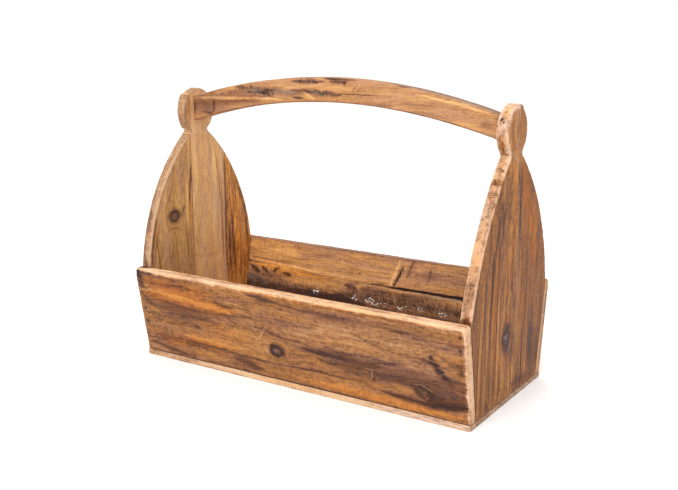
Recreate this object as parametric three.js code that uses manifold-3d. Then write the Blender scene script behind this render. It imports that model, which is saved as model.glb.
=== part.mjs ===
// A harvest crate: a long open box of reclaimed softwood boards. Its two end panels rise in an ogive
// to a round ear each, and an arched handle bar is nailed between the ears. Nothing on it moves.
// Millimetres, +Z up, the length along X, the front towards -Y, the origin under the base's middle.

import * as THREE from 'three';
import { mergeVertices } from 'three/addons/utils/BufferGeometryUtils.js';
import Module from 'manifold-3d';

const wasm = await Module();
wasm.setup();

// Box
const crateLength = 500;
const baseWidth = 214;
const baseThickness = 8;
const sideRise = 123;
const sideLean = THREE.MathUtils.degToRad(10);
const frontThickness = 16;
const rearThickness = 14;
const endThickness = 15;

// End panels above the sides: the shoulders' bow, flatter where the right one was sawn by eye at its
// front, the sawn neck and the ear
const shoulderBow = 20;
const rightFrontShoulderBow = 13;
const neckHeight = 307;
const neckHalfWidth = 18.5;
const neckRise = 3;
const earRadius = 32;

// Handle bar: its section, how far it arches, and where its ends meet the ears
const handleDepth = 21;
const handleHeight = 32;
const handleArch = 35;
const handleEndRise = 3;
const handleLeftLift = 4;

// Glued seams and board joints, as places across the crate or as a height above the base
const baseSeam = -52;
const leftFrontSeam = -20;
const leftRearSeam = 54;
const rightFrontSeam = -41;
const rightRearSeamFoot = 20;
const rightRearSeamTop = 9;
const rearJointRise = 80;

// Wear: how far the exposed edges are rounded
const rimWear = 5;
const rimInnerWear = 2.5;
const boardEndWear = 2;
const panelWear = 1.2;
const handleWear = 2.5;
const baseWear = 1;

// Nails: thin round wire nails, set just under the surface
const nailShankRadius = 0.9;
const nailHeadRadius = 1.7;
const nailHeadThickness = 1.2;
const nailPoint = 3;
const nailSink = 0.6;
const sideNailLength = 36;
const baseNailLength = 24;
const handleNailLength = 34;
const handleNailPitch = 12;

// Where the nails stand, as shares of the board or stave that they hold
const frontRightNailShares = [0.2, 0.535, 0.765, 0.9];
const frontLeftNailShares = [0.36, 0.52, 0.71, 0.9];
const rearLowerNailShares = [0.25, 0.75];
const rearUpperNailShares = [0.3, 0.72];
const baseSideNailShares = [-0.3, 0, 0.3];
const baseStaveNailShares = [0.35, 0.5, 0.5];

// Clearance in every seam and round every nail, and how far a cutter runs past the wood
const gap = 0.3;
const overrun = 6;

const rimSteps = 4;
const outlineSteps = 14;
const archSteps = 24;
const bevelSteps = 2;
const nailSides = 8;

const woodColours = {
  base: 0xc2a582,
  side: 0x9c6b42,
  rear: 0x8f6740,
  panel: 0xa8794f,
  pale: 0xb98d63,
  handle: 0xb27d4e,
};

const crate = new THREE.Group();
crate.name = 'harvest_crate';

// Group for pieces drawn as a section across the crate: drawn x is +Y, drawn y is +Z and the
// thickness runs along +X.
const acrossX = new THREE.Group();
acrossX.rotation.set(Math.PI / 2, Math.PI / 2, 0);
crate.add(acrossX);

// Group for pieces drawn from the front: drawn x is +X, drawn y is +Z and the thickness runs
// towards the front.
const fromFront = new THREE.Group();
fromFront.rotation.set(Math.PI / 2, 0, 0);
crate.add(fromFront);

function wood(name, geometry, colour, parent) {
  const material = new THREE.MeshStandardMaterial({ color: colour, roughness: 0.75, metalness: 0 });
  const mesh = new THREE.Mesh(geometry, material);
  mesh.name = name;
  parent.add(mesh);
  return mesh;
}

// An outline with its corners worn round. Each corner is [x, y, wear].
function wornOutline(corners) {
  const shape = new THREE.Shape();
  corners.forEach(([x, y, wear], index) => {
    const corner = new THREE.Vector2(x, y);
    const [beforeX, beforeY] = corners[(index + corners.length - 1) % corners.length];
    const [afterX, afterY] = corners[(index + 1) % corners.length];
    const start = new THREE.Vector2(beforeX, beforeY).sub(corner).setLength(wear).add(corner);
    const end = new THREE.Vector2(afterX, afterY).sub(corner).setLength(wear).add(corner);
    if (index === 0) shape.moveTo(start.x, start.y);
    else shape.lineTo(start.x, start.y);
    if (wear > 0) shape.quadraticCurveTo(corner.x, corner.y, end.x, end.y);
  });
  shape.closePath();
  return shape;
}

// A board sawn to an outline, its sawn edges worn round, and its near face at the drawing plane.
function sawn(shape, thickness, wear, steps) {
  const geometry = new THREE.ExtrudeGeometry(shape, {
    depth: thickness - 2 * wear,
    bevelThickness: wear,
    bevelSize: wear,
    bevelOffset: -wear,
    bevelSegments: bevelSteps,
    curveSegments: steps,
  });
  return geometry.translate(0, 0, wear);
}

// The same shape as a solid that can be cut, and back again
function solidOf(geometry) {
  const bare = geometry.clone();
  bare.deleteAttribute('normal');
  bare.deleteAttribute('uv');
  const merged = mergeVertices(bare);
  const corners = merged.index.array;
  const triangles = [];
  for (let i = 0; i < corners.length; i += 3) {
    const [a, b, c] = [corners[i], corners[i + 1], corners[i + 2]];
    if (a !== b && b !== c && c !== a) triangles.push(a, b, c);
  }
  return new wasm.Manifold(new wasm.Mesh({
    numProp: 3,
    vertProperties: Float32Array.from(merged.attributes.position.array),
    triVerts: Uint32Array.from(triangles),
  }));
}

function geometryOf(solid) {
  const cut = solid.getMesh();
  const geometry = new THREE.BufferGeometry();
  geometry.setAttribute('position', new THREE.BufferAttribute(cut.vertProperties, 3));
  geometry.setIndex(new THREE.BufferAttribute(cut.triVerts, 1));
  geometry.computeVertexNormals();
  return geometry;
}

// Places that follow from the sizes above
const leanRun = Math.tan(sideLean);
const sideTop = baseThickness + sideRise;
const panelMiddle = crateLength / 2 - endThickness / 2;
const earCentre = neckHeight + neckRise + Math.sqrt(earRadius ** 2 - neckHalfWidth ** 2);
const panelTop = earCentre + earRadius;
const acrossBoard = {
  front: frontThickness / Math.cos(sideLean),
  rear: rearThickness / Math.cos(sideLean),
};

function outerFace(rise) {
  return baseWidth / 2 + rise * leanRun;
}

// Base: two boards glued edge to edge, under everything else
function baseBoard(name, fromY, toY) {
  const outline = wornOutline([
    [fromY, 0, 0],
    [toY, 0, 0],
    [toY, baseThickness, 0],
    [fromY, baseThickness, 0],
  ]);
  const board = wood(name, sawn(outline, crateLength, baseWear, rimSteps), woodColours.base, acrossX);
  board.position.z = -crateLength / 2;
  return board;
}

const baseFront = baseBoard('base_front_board', -baseWidth / 2, baseSeam - gap / 2);
const baseRear = baseBoard('base_rear_board', baseSeam + gap / 2, baseWidth / 2);

// Side boards: full-length boards that lean out, standing on the base and nailed to the end panels'
// edges. The rims are worn round.
function sideBoard(name, side, across, fromRise, toRise, outerWear, innerWear, colour) {
  const outline = wornOutline([
    [side * outerFace(fromRise), baseThickness + fromRise, 0],
    [side * outerFace(toRise), baseThickness + toRise, outerWear],
    [side * (outerFace(toRise) - across), baseThickness + toRise, innerWear],
    [side * (outerFace(fromRise) - across), baseThickness + fromRise, 0],
  ]);
  const board = wood(name, sawn(outline, crateLength, boardEndWear, rimSteps), colour, acrossX);
  board.position.z = -crateLength / 2;
  return board;
}

const frontBoard = sideBoard(
  'front_board', -1, acrossBoard.front, gap, sideRise, rimWear, rimInnerWear, woodColours.side,
);
const rearLower = sideBoard(
  'rear_lower_board', 1, acrossBoard.rear, gap, rearJointRise - gap / 2, 0, 0, woodColours.rear,
);
const rearUpper = sideBoard(
  'rear_upper_board', 1, acrossBoard.rear, rearJointRise + gap / 2, sideRise, rimWear, rimInnerWear,
  woodColours.side,
);

// End panels: upright staves glued edge to edge, then sawn to one outline. The foot fits between the
// side boards, the shoulders bow in to the neck, and the ear stands on the neck.
function bowTo(shape, from, to, bow) {
  const run = to.clone().sub(from);
  const radius = (run.length() ** 2 / 4 + bow ** 2) / (2 * bow);
  const inward = new THREE.Vector2(-run.y, run.x).setLength(radius - bow);
  const centre = from.clone().add(to).multiplyScalar(1 / 2).add(inward);
  const start = from.clone().sub(centre).angle();
  const end = to.clone().sub(centre).angle();
  shape.absarc(centre.x, centre.y, radius, start, end, false);
}

function panelOutline(frontBow, rearBow) {
  const foot = baseThickness + gap;
  const frontFoot = acrossBoard.front + gap - outerFace(gap);
  const rearFoot = outerFace(gap) - acrossBoard.rear - gap;
  const frontShoulder = new THREE.Vector2(acrossBoard.front + gap - outerFace(sideRise), sideTop);
  const rearShoulder = new THREE.Vector2(outerFace(sideRise) - acrossBoard.rear - gap, sideTop);
  const earStart = Math.atan2(neckHeight + neckRise - earCentre, neckHalfWidth);
  const shape = new THREE.Shape();
  shape.moveTo(frontFoot, foot);
  shape.lineTo(rearFoot, foot);
  shape.lineTo(rearShoulder.x, rearShoulder.y);
  bowTo(shape, rearShoulder, new THREE.Vector2(neckHalfWidth, neckHeight), rearBow);
  shape.lineTo(neckHalfWidth, neckHeight + neckRise);
  shape.absarc(0, earCentre, earRadius, earStart, Math.PI / 2, false);
  shape.absarc(0, earCentre, earRadius, Math.PI / 2, Math.PI - earStart, false);
  shape.lineTo(-neckHalfWidth, neckHeight);
  bowTo(shape, new THREE.Vector2(-neckHalfWidth, neckHeight), frontShoulder, frontBow);
  shape.closePath();
  return shape;
}

// The part of a panel between two seams, from one height to another. A seam is a line that crosses
// the panel's foot and top at two places.
function between(panel, near, far, low, high) {
  const at = (seam, height) => THREE.MathUtils.lerp(seam.foot, seam.top, height / panelTop);
  const region = wornOutline([
    [at(near, low) + gap / 2, low, 0],
    [at(far, low) - gap / 2, low, 0],
    [at(far, high) - gap / 2, high, 0],
    [at(near, high) + gap / 2, high, 0],
  ]);
  const cutter = new THREE.ExtrudeGeometry(region, {
    depth: endThickness + 2 * overrun,
    bevelEnabled: false,
  });
  return panel.intersect(solidOf(cutter.translate(0, 0, -overrun)));
}

function endPanel(sideName, nearX, frontBow, frontSeam, rearSeam, colours) {
  const outline = panelOutline(frontBow, shoulderBow);
  const panel = solidOf(sawn(outline, endThickness, panelWear, outlineSteps));
  const bound = outerFace(sideRise) + overrun;
  const frontBound = { foot: -bound, top: -bound };
  const rearBound = { foot: bound, top: bound };
  const neck = neckHeight + neckRise / 2;
  const staves = [
    ['front', frontBound, frontSeam, -frontSeam.top],
    ['middle', frontSeam, rearSeam, 0],
    ['rear', rearSeam, rearBound, rearSeam.top],
  ];
  return staves.map(([place, near, far, reach], index) => {
    const crossesNeck = reach < neckHalfWidth;
    const high = crossesNeck ? panelTop + overrun : neck;
    const geometry = geometryOf(between(panel, near, far, -overrun, high));
    const stave = wood(`${sideName}_${place}_stave`, geometry, colours[index], acrossX);
    stave.position.z = nearX;
    if (!crossesNeck && reach < earRadius) {
      const cheekGeometry = geometryOf(between(panel, near, far, neck, panelTop + overrun));
      const cheek = wood(`${sideName}_${place}_ear_cheek`, cheekGeometry, colours[index], acrossX);
      cheek.position.z = nearX;
    }
    return stave;
  });
}

const leftStaves = endPanel(
  'left',
  -crateLength / 2,
  shoulderBow,
  { foot: leftFrontSeam, top: leftFrontSeam },
  { foot: leftRearSeam, top: leftRearSeam },
  [woodColours.panel, woodColours.pale, woodColours.rear],
);
const rightStaves = endPanel(
  'right',
  crateLength / 2 - endThickness,
  rightFrontShoulderBow,
  { foot: rightFrontSeam, top: rightFrontSeam },
  { foot: rightRearSeamFoot, top: rightRearSeamTop },
  [woodColours.panel, woodColours.side, woodColours.rear],
);

// Handle bar: one straight-grained board sawn to an arch, its ends butted to the ears' inner faces
const handleEndCentre = earCentre + handleEndRise;
const handleReach = crateLength / 2 - endThickness - gap;

function handleBar() {
  const foot = handleEndCentre - handleHeight / 2;
  const rightTop = handleEndCentre + handleHeight / 2 - handleLeftLift / 2;
  const leftTop = rightTop + handleLeftLift;
  const crown = handleEndCentre + handleHeight / 2 + handleArch;
  const shape = new THREE.Shape();
  shape.moveTo(-handleReach, foot);
  shape.quadraticCurveTo(0, foot + 2 * handleArch, handleReach, foot);
  shape.lineTo(handleReach, rightTop);
  shape.quadraticCurveTo(0, 2 * crown - (leftTop + rightTop) / 2, -handleReach, leftTop);
  shape.closePath();
  const geometry = sawn(shape, handleDepth, handleWear, archSteps);
  const bar = wood('handle', geometry, woodColours.handle, fromFront);
  bar.position.z = -handleDepth / 2;
  return bar;
}

const handle = handleBar();

// Nails. The profile runs from the point up the shank to the head, whose top is at the drawn origin.
// With a clearance it is the hole that the nail stands in, open past the surface.
function nailProfile(length, clearance) {
  const shank = nailShankRadius + clearance;
  const head = nailHeadRadius + clearance;
  const top = clearance > 0 ? nailSink + overrun : 0;
  const points = [
    [0, -length - clearance],
    [shank, nailPoint - length],
    [shank, -nailHeadThickness - clearance],
    [head, -nailHeadThickness - clearance],
    [head, top],
    [0, top],
  ];
  const outline = points.map(([radius, height]) => new THREE.Vector2(radius, height));
  return new THREE.LatheGeometry(outline, nailSides);
}

const nailColour = 0x4a4038;
const holes = new Map();

// Drives a nail at a place on a surface whose outward direction is given, and notes its hole in
// every piece of wood that it goes through.
function driveNail(name, length, place, outward, pieces) {
  const iron = new THREE.MeshStandardMaterial({ color: nailColour, roughness: 0.6, metalness: 0.8 });
  const nail = new THREE.Mesh(nailProfile(length, 0), iron);
  nail.name = name;
  nail.position.copy(place).addScaledVector(outward, -nailSink);
  nail.quaternion.setFromUnitVectors(new THREE.Vector3(0, 1, 0), outward);
  nail.updateMatrixWorld();
  crate.add(nail);
  const hole = nailProfile(length, gap).applyMatrix4(nail.matrixWorld);
  for (const piece of pieces) {
    if (!holes.has(piece)) holes.set(piece, []);
    holes.get(piece).push(hole);
  }
}

// Ends of the crate: the sign along X, and the staves that a nail from the front or rear bites
const ends = [
  { name: 'left', sign: -1, staves: leftStaves, frontShares: frontLeftNailShares },
  { name: 'right', sign: 1, staves: rightStaves, frontShares: frontRightNailShares },
];

function sideNails(name, side, sign, board, stave, fromRise, toRise, shares) {
  const outward = new THREE.Vector3(0, side * Math.cos(sideLean), -Math.sin(sideLean));
  shares.forEach((share, index) => {
    const rise = THREE.MathUtils.lerp(fromRise, toRise, share);
    const place = new THREE.Vector3(sign * panelMiddle, side * outerFace(rise), baseThickness + rise);
    driveNail(`${name}_${index + 1}`, sideNailLength, place, outward, [board, stave]);
  });
}

for (const { name, sign, staves, frontShares } of ends) {
  const [frontStave, , rearStave] = staves;
  sideNails(`front_nail_${name}`, -1, sign, frontBoard, frontStave, 0, sideRise, frontShares);
  sideNails(
    `rear_lower_nail_${name}`, 1, sign, rearLower, rearStave, 0, rearJointRise, rearLowerNailShares,
  );
  sideNails(
    `rear_upper_nail_${name}`, 1, sign, rearUpper, rearStave, rearJointRise, sideRise,
    rearUpperNailShares,
  );
}

// Base nails, driven up from underneath: one into each stave's foot and three into each side board
const down = new THREE.Vector3(0, 0, -1);
const frontFoot = acrossBoard.front - outerFace(0);
const rearFoot = outerFace(0) - acrossBoard.rear;
const staveFeet = {
  left: [frontFoot, leftFrontSeam, leftRearSeam, rearFoot],
  right: [frontFoot, rightFrontSeam, rightRearSeamFoot, rearFoot],
};
for (const { name, sign, staves } of ends) {
  staves.forEach((stave, index) => {
    const feet = staveFeet[name];
    const y = THREE.MathUtils.lerp(feet[index], feet[index + 1], baseStaveNailShares[index]);
    const place = new THREE.Vector3(sign * panelMiddle, y, 0);
    const base = y < baseSeam ? baseFront : baseRear;
    driveNail(`base_nail_${name}_${index + 1}`, baseNailLength, place, down, [base, stave]);
  });
}
const bite = baseNailLength - baseThickness;
const sides = [
  { name: 'front', side: -1, across: acrossBoard.front, base: baseFront, board: frontBoard },
  { name: 'rear', side: 1, across: acrossBoard.rear, base: baseRear, board: rearLower },
];
for (const { name, side, across, base, board } of sides) {
  baseSideNailShares.forEach((share, index) => {
    const y = side * (outerFace(bite / 2) - across / 2);
    const place = new THREE.Vector3(share * crateLength, y, 0);
    driveNail(`base_nail_${name}_${index + 1}`, baseNailLength, place, down, [base, board]);
  });
}

// Handle nails: two through each ear into the handle's end grain
for (const { name, sign, staves } of ends) {
  const outward = new THREE.Vector3(sign, 0, 0);
  for (const index of [0, 1]) {
    const z = handleEndCentre + (index - 1 / 2) * handleNailPitch;
    const place = new THREE.Vector3((sign * crateLength) / 2, 0, z);
    driveNail(`handle_nail_${name}_${index + 1}`, handleNailLength, place, outward, [staves[1], handle]);
  }
}

// Every piece of wood is drilled where it stands
crate.updateMatrixWorld(true);
for (const [piece, bits] of holes) {
  const toPiece = piece.matrixWorld.clone().invert();
  let solid = solidOf(piece.geometry);
  for (const bit of bits) solid = solid.subtract(solidOf(bit.clone().applyMatrix4(toPiece)));
  piece.geometry = geometryOf(solid);
}

export default crate;
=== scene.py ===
# The looks of a harvest crate: a long open box of reclaimed softwood boards with an arched handle bar
# between two end panels that rise to round ears. Metres, +Z up, the front towards -Y.
from math import cos, pi, radians, sin, tan

import bpy
import numpy as np
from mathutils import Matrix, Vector


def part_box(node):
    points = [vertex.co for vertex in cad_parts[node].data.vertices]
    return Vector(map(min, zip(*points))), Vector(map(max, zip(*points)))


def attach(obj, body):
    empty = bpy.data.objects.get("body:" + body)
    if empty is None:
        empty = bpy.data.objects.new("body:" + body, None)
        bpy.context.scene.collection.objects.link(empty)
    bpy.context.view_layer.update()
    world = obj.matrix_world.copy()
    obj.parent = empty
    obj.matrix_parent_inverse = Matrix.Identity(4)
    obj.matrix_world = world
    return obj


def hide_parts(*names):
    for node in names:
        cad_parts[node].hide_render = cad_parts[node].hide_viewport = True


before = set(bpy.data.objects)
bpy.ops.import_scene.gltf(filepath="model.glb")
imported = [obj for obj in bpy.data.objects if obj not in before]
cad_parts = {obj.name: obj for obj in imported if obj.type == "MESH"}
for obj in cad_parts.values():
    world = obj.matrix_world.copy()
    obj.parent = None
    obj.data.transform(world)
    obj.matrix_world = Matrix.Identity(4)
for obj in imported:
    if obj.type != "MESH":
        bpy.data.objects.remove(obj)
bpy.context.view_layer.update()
scene = bpy.context.scene

# Camera
# It stands in front of the crate and to its right, somewhat higher than the handle, and looks down at
# the crate's middle.
camera_place = Vector((0.6789, -1.0517, 0.4625))
camera_target = Vector((0.0024, 0, 0.1692))
camera = bpy.data.objects.new("camera", bpy.data.cameras.new("camera"))
camera.location = camera_place
camera.rotation_euler = (camera_target - camera_place).to_track_quat("-Z", "Y").to_euler()
camera.data.lens = 51.07
camera.data.sensor_width = 36
scene.collection.objects.link(camera)
scene.camera = camera

# Floor and light
# A plain white floor, an even white surround, and soft light: a broad lamp high beside the camera,
# another behind that catches the worn edges, and a wide overhead glow that whitens the floor.
scene.view_settings.view_transform = "Standard"
floor_size = 30
floor_mesh = bpy.data.meshes.new("floor")
floor_mesh.from_pydata(
    [(x * floor_size / 2, y * floor_size / 2, 0) for x, y in ((-1, -1), (1, -1), (1, 1), (-1, 1))],
    [],
    [(0, 1, 2, 3)],
)
floor = bpy.data.objects.new("floor", floor_mesh)
scene.collection.objects.link(floor)
paint = bpy.data.materials.new("white_floor")
paint.use_nodes = True
paint.node_tree.nodes["Principled BSDF"].inputs["Base Color"].default_value = (0.93, 0.93, 0.93, 1)
paint.node_tree.nodes["Principled BSDF"].inputs["Roughness"].default_value = 0.9
paint.node_tree.nodes["Principled BSDF"].inputs["Specular IOR Level"].default_value = 0.1
floor_mesh.materials.append(paint)

surround = bpy.data.worlds.new("surround")
surround.use_nodes = True
surround.node_tree.nodes["Background"].inputs["Color"].default_value = (1, 1, 1, 1)
surround.node_tree.nodes["Background"].inputs["Strength"].default_value = 1.0
scene.world = surround


def soft_lamp(name, place, size, power):
    lamp = bpy.data.objects.new(name, bpy.data.lights.new(name, "AREA"))
    lamp.data.shape = "DISK"
    lamp.data.size = size
    lamp.data.energy = power
    lamp.location = place
    lamp.rotation_euler = (camera_target - Vector(place)).to_track_quat("-Z", "Y").to_euler()
    scene.collection.objects.link(lamp)


soft_lamp("key_lamp", (0.3, -1.5, 1.7), 1.0, 24)
soft_lamp("rim_lamp", (-0.7, 1.2, 1.9), 1.2, 8)
glow = bpy.data.objects.new("overhead_glow", bpy.data.lights.new("overhead_glow", "SUN"))
glow.data.energy = 0.5
glow.data.angle = radians(80)
glow.rotation_euler = (radians(28), 0, radians(-12))
scene.collection.objects.link(glow)

# Base boards
# Two thin boards of pale rough-sawn softwood, glued edge to edge and nailed up into the boards that
# stand on them. They keep the saw's marks, and only their ends and front edge show.
mm = 0.001
far_off = 1e9


def smooth(value, low, high):
    share = np.clip((value - low) / (high - low), 0, 1)
    return share * share * (3 - 2 * share)


def faded(first, second, share):
    """From the first to the second, as the share goes from 0 to 1."""
    return first * (1 - share) + second * share


def unevenness(along, across, cell_along, cell_across, seed):
    """Smooth random relief from -1 to 1, whose hills are about a cell long and wide."""
    cells_to_repeat = 64
    table = np.random.default_rng(seed).uniform(-1, 1, (cells_to_repeat, cells_to_repeat))
    row, column = along / cell_along, across / cell_across
    i, j = np.floor(row).astype(int), np.floor(column).astype(int)
    s, t = smooth(row - i, 0, 1), smooth(column - j, 0, 1)

    def corner(di, dj):
        return table[(i + di) % cells_to_repeat, (j + dj) % cells_to_repeat]

    near, far = faded(corner(0, 0), corner(1, 0), s), faded(corner(0, 1), corner(1, 1), s)
    return faded(near, far, t)


def spaced(low, high, step, wear, near=()):
    """Places from low to high: a step apart, and closer along a worn edge and round each nail."""
    worn = max(wear, 1 * mm) * np.array([0, 0.12, 0.28, 0.48, 0.72, 1, 1.35])
    wanted = [low + worn, high - worn, np.linspace(low, high, int((high - low) / step) + 2)]
    wanted += [place + np.arange(-3, 3.1, 1) * mm for place in near]
    kept = [low]
    for place in np.unique(np.concatenate(wanted)):
        if kept[-1] + 0.12 * mm < place < high - 0.12 * mm:
            kept.append(place)
    return np.array(kept + [high])


def nearest_on_path(points, path):
    """For each point: its signed distance to a path, and how far along the path that is, from 0 to 1."""
    steps = np.diff(path, axis=0)
    lengths = np.maximum(np.linalg.norm(steps, axis=1), 1e-9)
    starts = np.concatenate([[0], np.cumsum(lengths)])
    best = np.full(len(points), far_off)
    share = np.zeros(len(points))
    for start, step, length, run in zip(path, steps, lengths, starts):
        t = np.clip(((points - start) @ step) / length**2, 0, 1)
        away = points - start - t[:, None] * step
        side = np.sign(step[0] * away[:, 1] - step[1] * away[:, 0])
        distance = np.linalg.norm(away, axis=1) * np.where(side == 0, 1, side)
        closer = np.abs(distance) < np.abs(best)
        best = np.where(closer, distance, best)
        share = np.where(closer, (run + t * length) / starts[-1], share)
    return best, share


def edge_of(rows, columns, low_wall, high_wall, foot_wall, top_wall):
    """The outline's points in turn, each with its row, its column and its wear."""
    low_wall, high_wall = (np.broadcast_to(each, (rows, 5)) for each in (low_wall, high_wall))
    foot_wall, top_wall = (np.broadcast_to(each, (columns, 5)) for each in (foot_wall, top_wall))
    loop = [(0, j, foot_wall[j]) for j in range(columns)]
    loop += [(i, columns - 1, high_wall[i]) for i in range(1, rows - 1)]
    loop += [(rows - 1, j, top_wall[j]) for j in range(columns)[::-1]]
    loop += [(i, 0, low_wall[i]) for i in range(1, rows - 1)[::-1]]
    return loop


def round_corners(along, across, radius):
    """Rounds the two upper corners of a straight board's outline, by drawing squares in to arcs."""
    if radius == 0:
        return along, across
    middle_a, middle_b = (along.min() + along.max()) / 2, (across.min() + across.max()) / 2
    reach_a = (along.max() - along.min()) / 2 - radius
    reach_b = (across.max() - across.min()) / 2 - radius
    a, b = along - middle_a, across - middle_b
    out_a, out_b = np.maximum(np.abs(a) - reach_a, 0), np.maximum(np.abs(b) - reach_b, 0)
    corner = (out_a > 0) & (out_b > 0) & (b > 0)
    scale = np.where(corner, np.maximum(out_a, out_b) / np.maximum(np.hypot(out_a, out_b), 1e-9), 1)
    a = np.where(corner, np.sign(a) * (reach_a + out_a * scale), a)
    b = np.where(corner, np.sign(b) * (reach_b + out_b * scale), b)
    return a + middle_a, b + middle_b


def wall(outer=0.5, inner=0.5, rubbed=0.0, waver=0.0, chips=0):
    """Wear of one edge of a board: how far its outer and inner arrises are rounded, how pale it is
    rubbed, how far its line wavers, and how many chips a metre it has."""
    return np.array([outer * mm, inner * mm, rubbed, waver * mm, chips])


seam = wall(0.35, 0.35)


def lay_out(rows, low, high, columns, corner):
    """Places over a board's face: evenly spread in the middle, and at fixed distances from its edges."""
    widest = columns[-1]
    margin = 7 * mm
    width = (high - low)[:, None]
    close = np.minimum(margin, 0.45 * width)
    between = close + (columns - margin) / max(widest - 2 * margin, mm) * (width - 2 * close)
    inset = np.where(columns <= margin, columns * close / margin, between)
    inset = np.where(columns >= widest - margin, width - (widest - columns) * close / margin, inset)
    if widest <= 2.4 * margin:
        inset = columns / widest * width
    along = np.repeat(rows[:, None], len(columns), axis=1)
    return round_corners(along, low[:, None] + inset, corner)


def walk_round(along, across, walls):
    """The outline, walked once round: its corners, the step from each to the next and its length, how
    far the walk has come, which way is out of the board, and the edge's wear."""
    loop = edge_of(*along.shape, *walls)
    outline = np.array([(along[i, j], across[i, j]) for i, j, _ in loop])
    wear = np.array([worn for _, _, worn in loop])
    step = np.roll(outline, -1, axis=0) - outline
    length = np.maximum(np.linalg.norm(step, axis=1), 1e-9)
    facing = np.stack([step[:, 1], -step[:, 0]], axis=1) / length[:, None]
    area = np.sum(outline[:, 0] * np.roll(outline[:, 1], -1) - np.roll(outline[:, 0], -1) * outline[:, 1])
    facing *= np.sign(area)
    outward = facing + np.roll(facing, 1, axis=0)
    outward /= np.linalg.norm(outward, axis=1)[:, None]
    walked = np.concatenate([[0], np.cumsum(length)[:-1]])
    return outline, step, length, walked, outward, wear


def nearest_edge(flat, outline, step, length, walked, outward):
    """For each place on the face: the outline's distance and direction, how far round the walk the
    nearest part of it is, and which of its corners is nearest."""
    nearest = np.zeros(len(flat), int)
    batch = 4000
    for start in range(0, len(flat), batch):
        part = flat[start:start + batch]
        gaps = (part[:, :1] - outline[:, 0]) ** 2 + (part[:, 1:] - outline[:, 1]) ** 2
        nearest[start:start + batch] = gaps.argmin(axis=1)
    distance = np.full(len(flat), far_off)
    toward = np.zeros_like(flat)
    run = np.zeros(len(flat))
    for start in ((nearest - 1) % len(outline), nearest):
        t = np.clip(((flat - outline[start]) * step[start]).sum(1) / length[start] ** 2, 0, 1)
        away = flat - outline[start] - t[:, None] * step[start]
        gap = np.linalg.norm(away, axis=1)
        closer = gap < distance
        distance = np.where(closer, gap, distance)
        toward = np.where(closer[:, None], -away / np.maximum(gap, 1e-9)[:, None], toward)
        run = np.where(closer, walked[start] + t * length[start], run)
    toward = np.where((distance < 1e-7)[:, None], outward[nearest], toward)
    return distance, toward, run, nearest


def paint_marks(marks, surfaces, stray):
    """How strongly each kind of mark shows at each point, and how far a split or a scratch is from it."""
    count = len(stray)
    kinds = ("dark", "light", "warm", "split_on", "scratch_on", "dent", "pale", "ash", "hatch", "fleck")
    painted = {kind: np.zeros(count) for kind in kinds}
    line = {"split": np.full(count, 5 * mm), "scratch": np.full(count, 5 * mm)}
    for surface, kind, path, half, strength in marks:
        on, places = surfaces[surface]
        path = np.array(path, float) * mm
        is_spot = len(path) == 1
        if is_spot:
            path = np.concatenate([path, path + 0.01 * mm])
        gap, share = nearest_on_path(places[on], path)
        taper = 1 if is_spot else np.maximum(np.sin(pi * np.clip(share, 0.02, 0.98)), 0.05) ** 0.6
        gap = gap + 0.32 * min(half, 4) * mm * stray[on]
        if kind in line:
            strong = strength * taper * (1 - smooth(np.abs(gap), 1.5 * half * mm, 4 * half * mm))
            stronger = strong > painted[kind + "_on"][on]
            line[kind][on] = np.where(stronger, gap / half, line[kind][on])
            painted[kind + "_on"][on] = np.maximum(painted[kind + "_on"][on], strong)
            painted["dent"][on] += 0.3 * strength * taper * np.exp(-(gap / (0.9 * mm)) ** 2)
        else:
            amount = strength * np.exp(-(gap / (half * mm * taper)) ** 2)
            there = painted[kind][on]
            stronger = np.abs(amount) > np.abs(there)
            painted[kind][on] = np.where(stronger, amount + 0.4 * there, there + 0.4 * amount)
    return painted, line


def build_mesh(name, spots, faces, lines, values):
    """The finished board, with the values at its points that its finish reads."""
    a, b, c, d = (spots[faces[:, corner]] for corner in range(4))
    if np.sum(a * np.cross(b, c)) + np.sum(a * np.cross(c, d)) < 0:
        faces = faces[:, ::-1]
    mesh = bpy.data.meshes.new(name)
    mesh.vertices.add(len(spots))
    mesh.vertices.foreach_set("co", spots.astype(np.float32).ravel())
    mesh.loops.add(faces.size)
    mesh.loops.foreach_set("vertex_index", faces.astype(np.int32).ravel())
    mesh.polygons.add(len(faces))
    mesh.polygons.foreach_set("loop_start", np.arange(0, faces.size, 4, dtype=np.int32))
    mesh.polygons.foreach_set("use_smooth", np.ones(len(faces), bool))
    mesh.update(calc_edges=True)
    grain = mesh.attributes.new("grain", "FLOAT_VECTOR", "POINT")
    grain.data.foreach_set("vector", lines.astype(np.float32).ravel())
    for attribute, value in values.items():
        made = mesh.attributes.new(attribute, "FLOAT", "POINT")
        made.data.foreach_set("value", value.astype(np.float32))
    piece = bpy.data.objects.new(name, mesh)
    scene.collection.objects.link(piece)
    return piece


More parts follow.
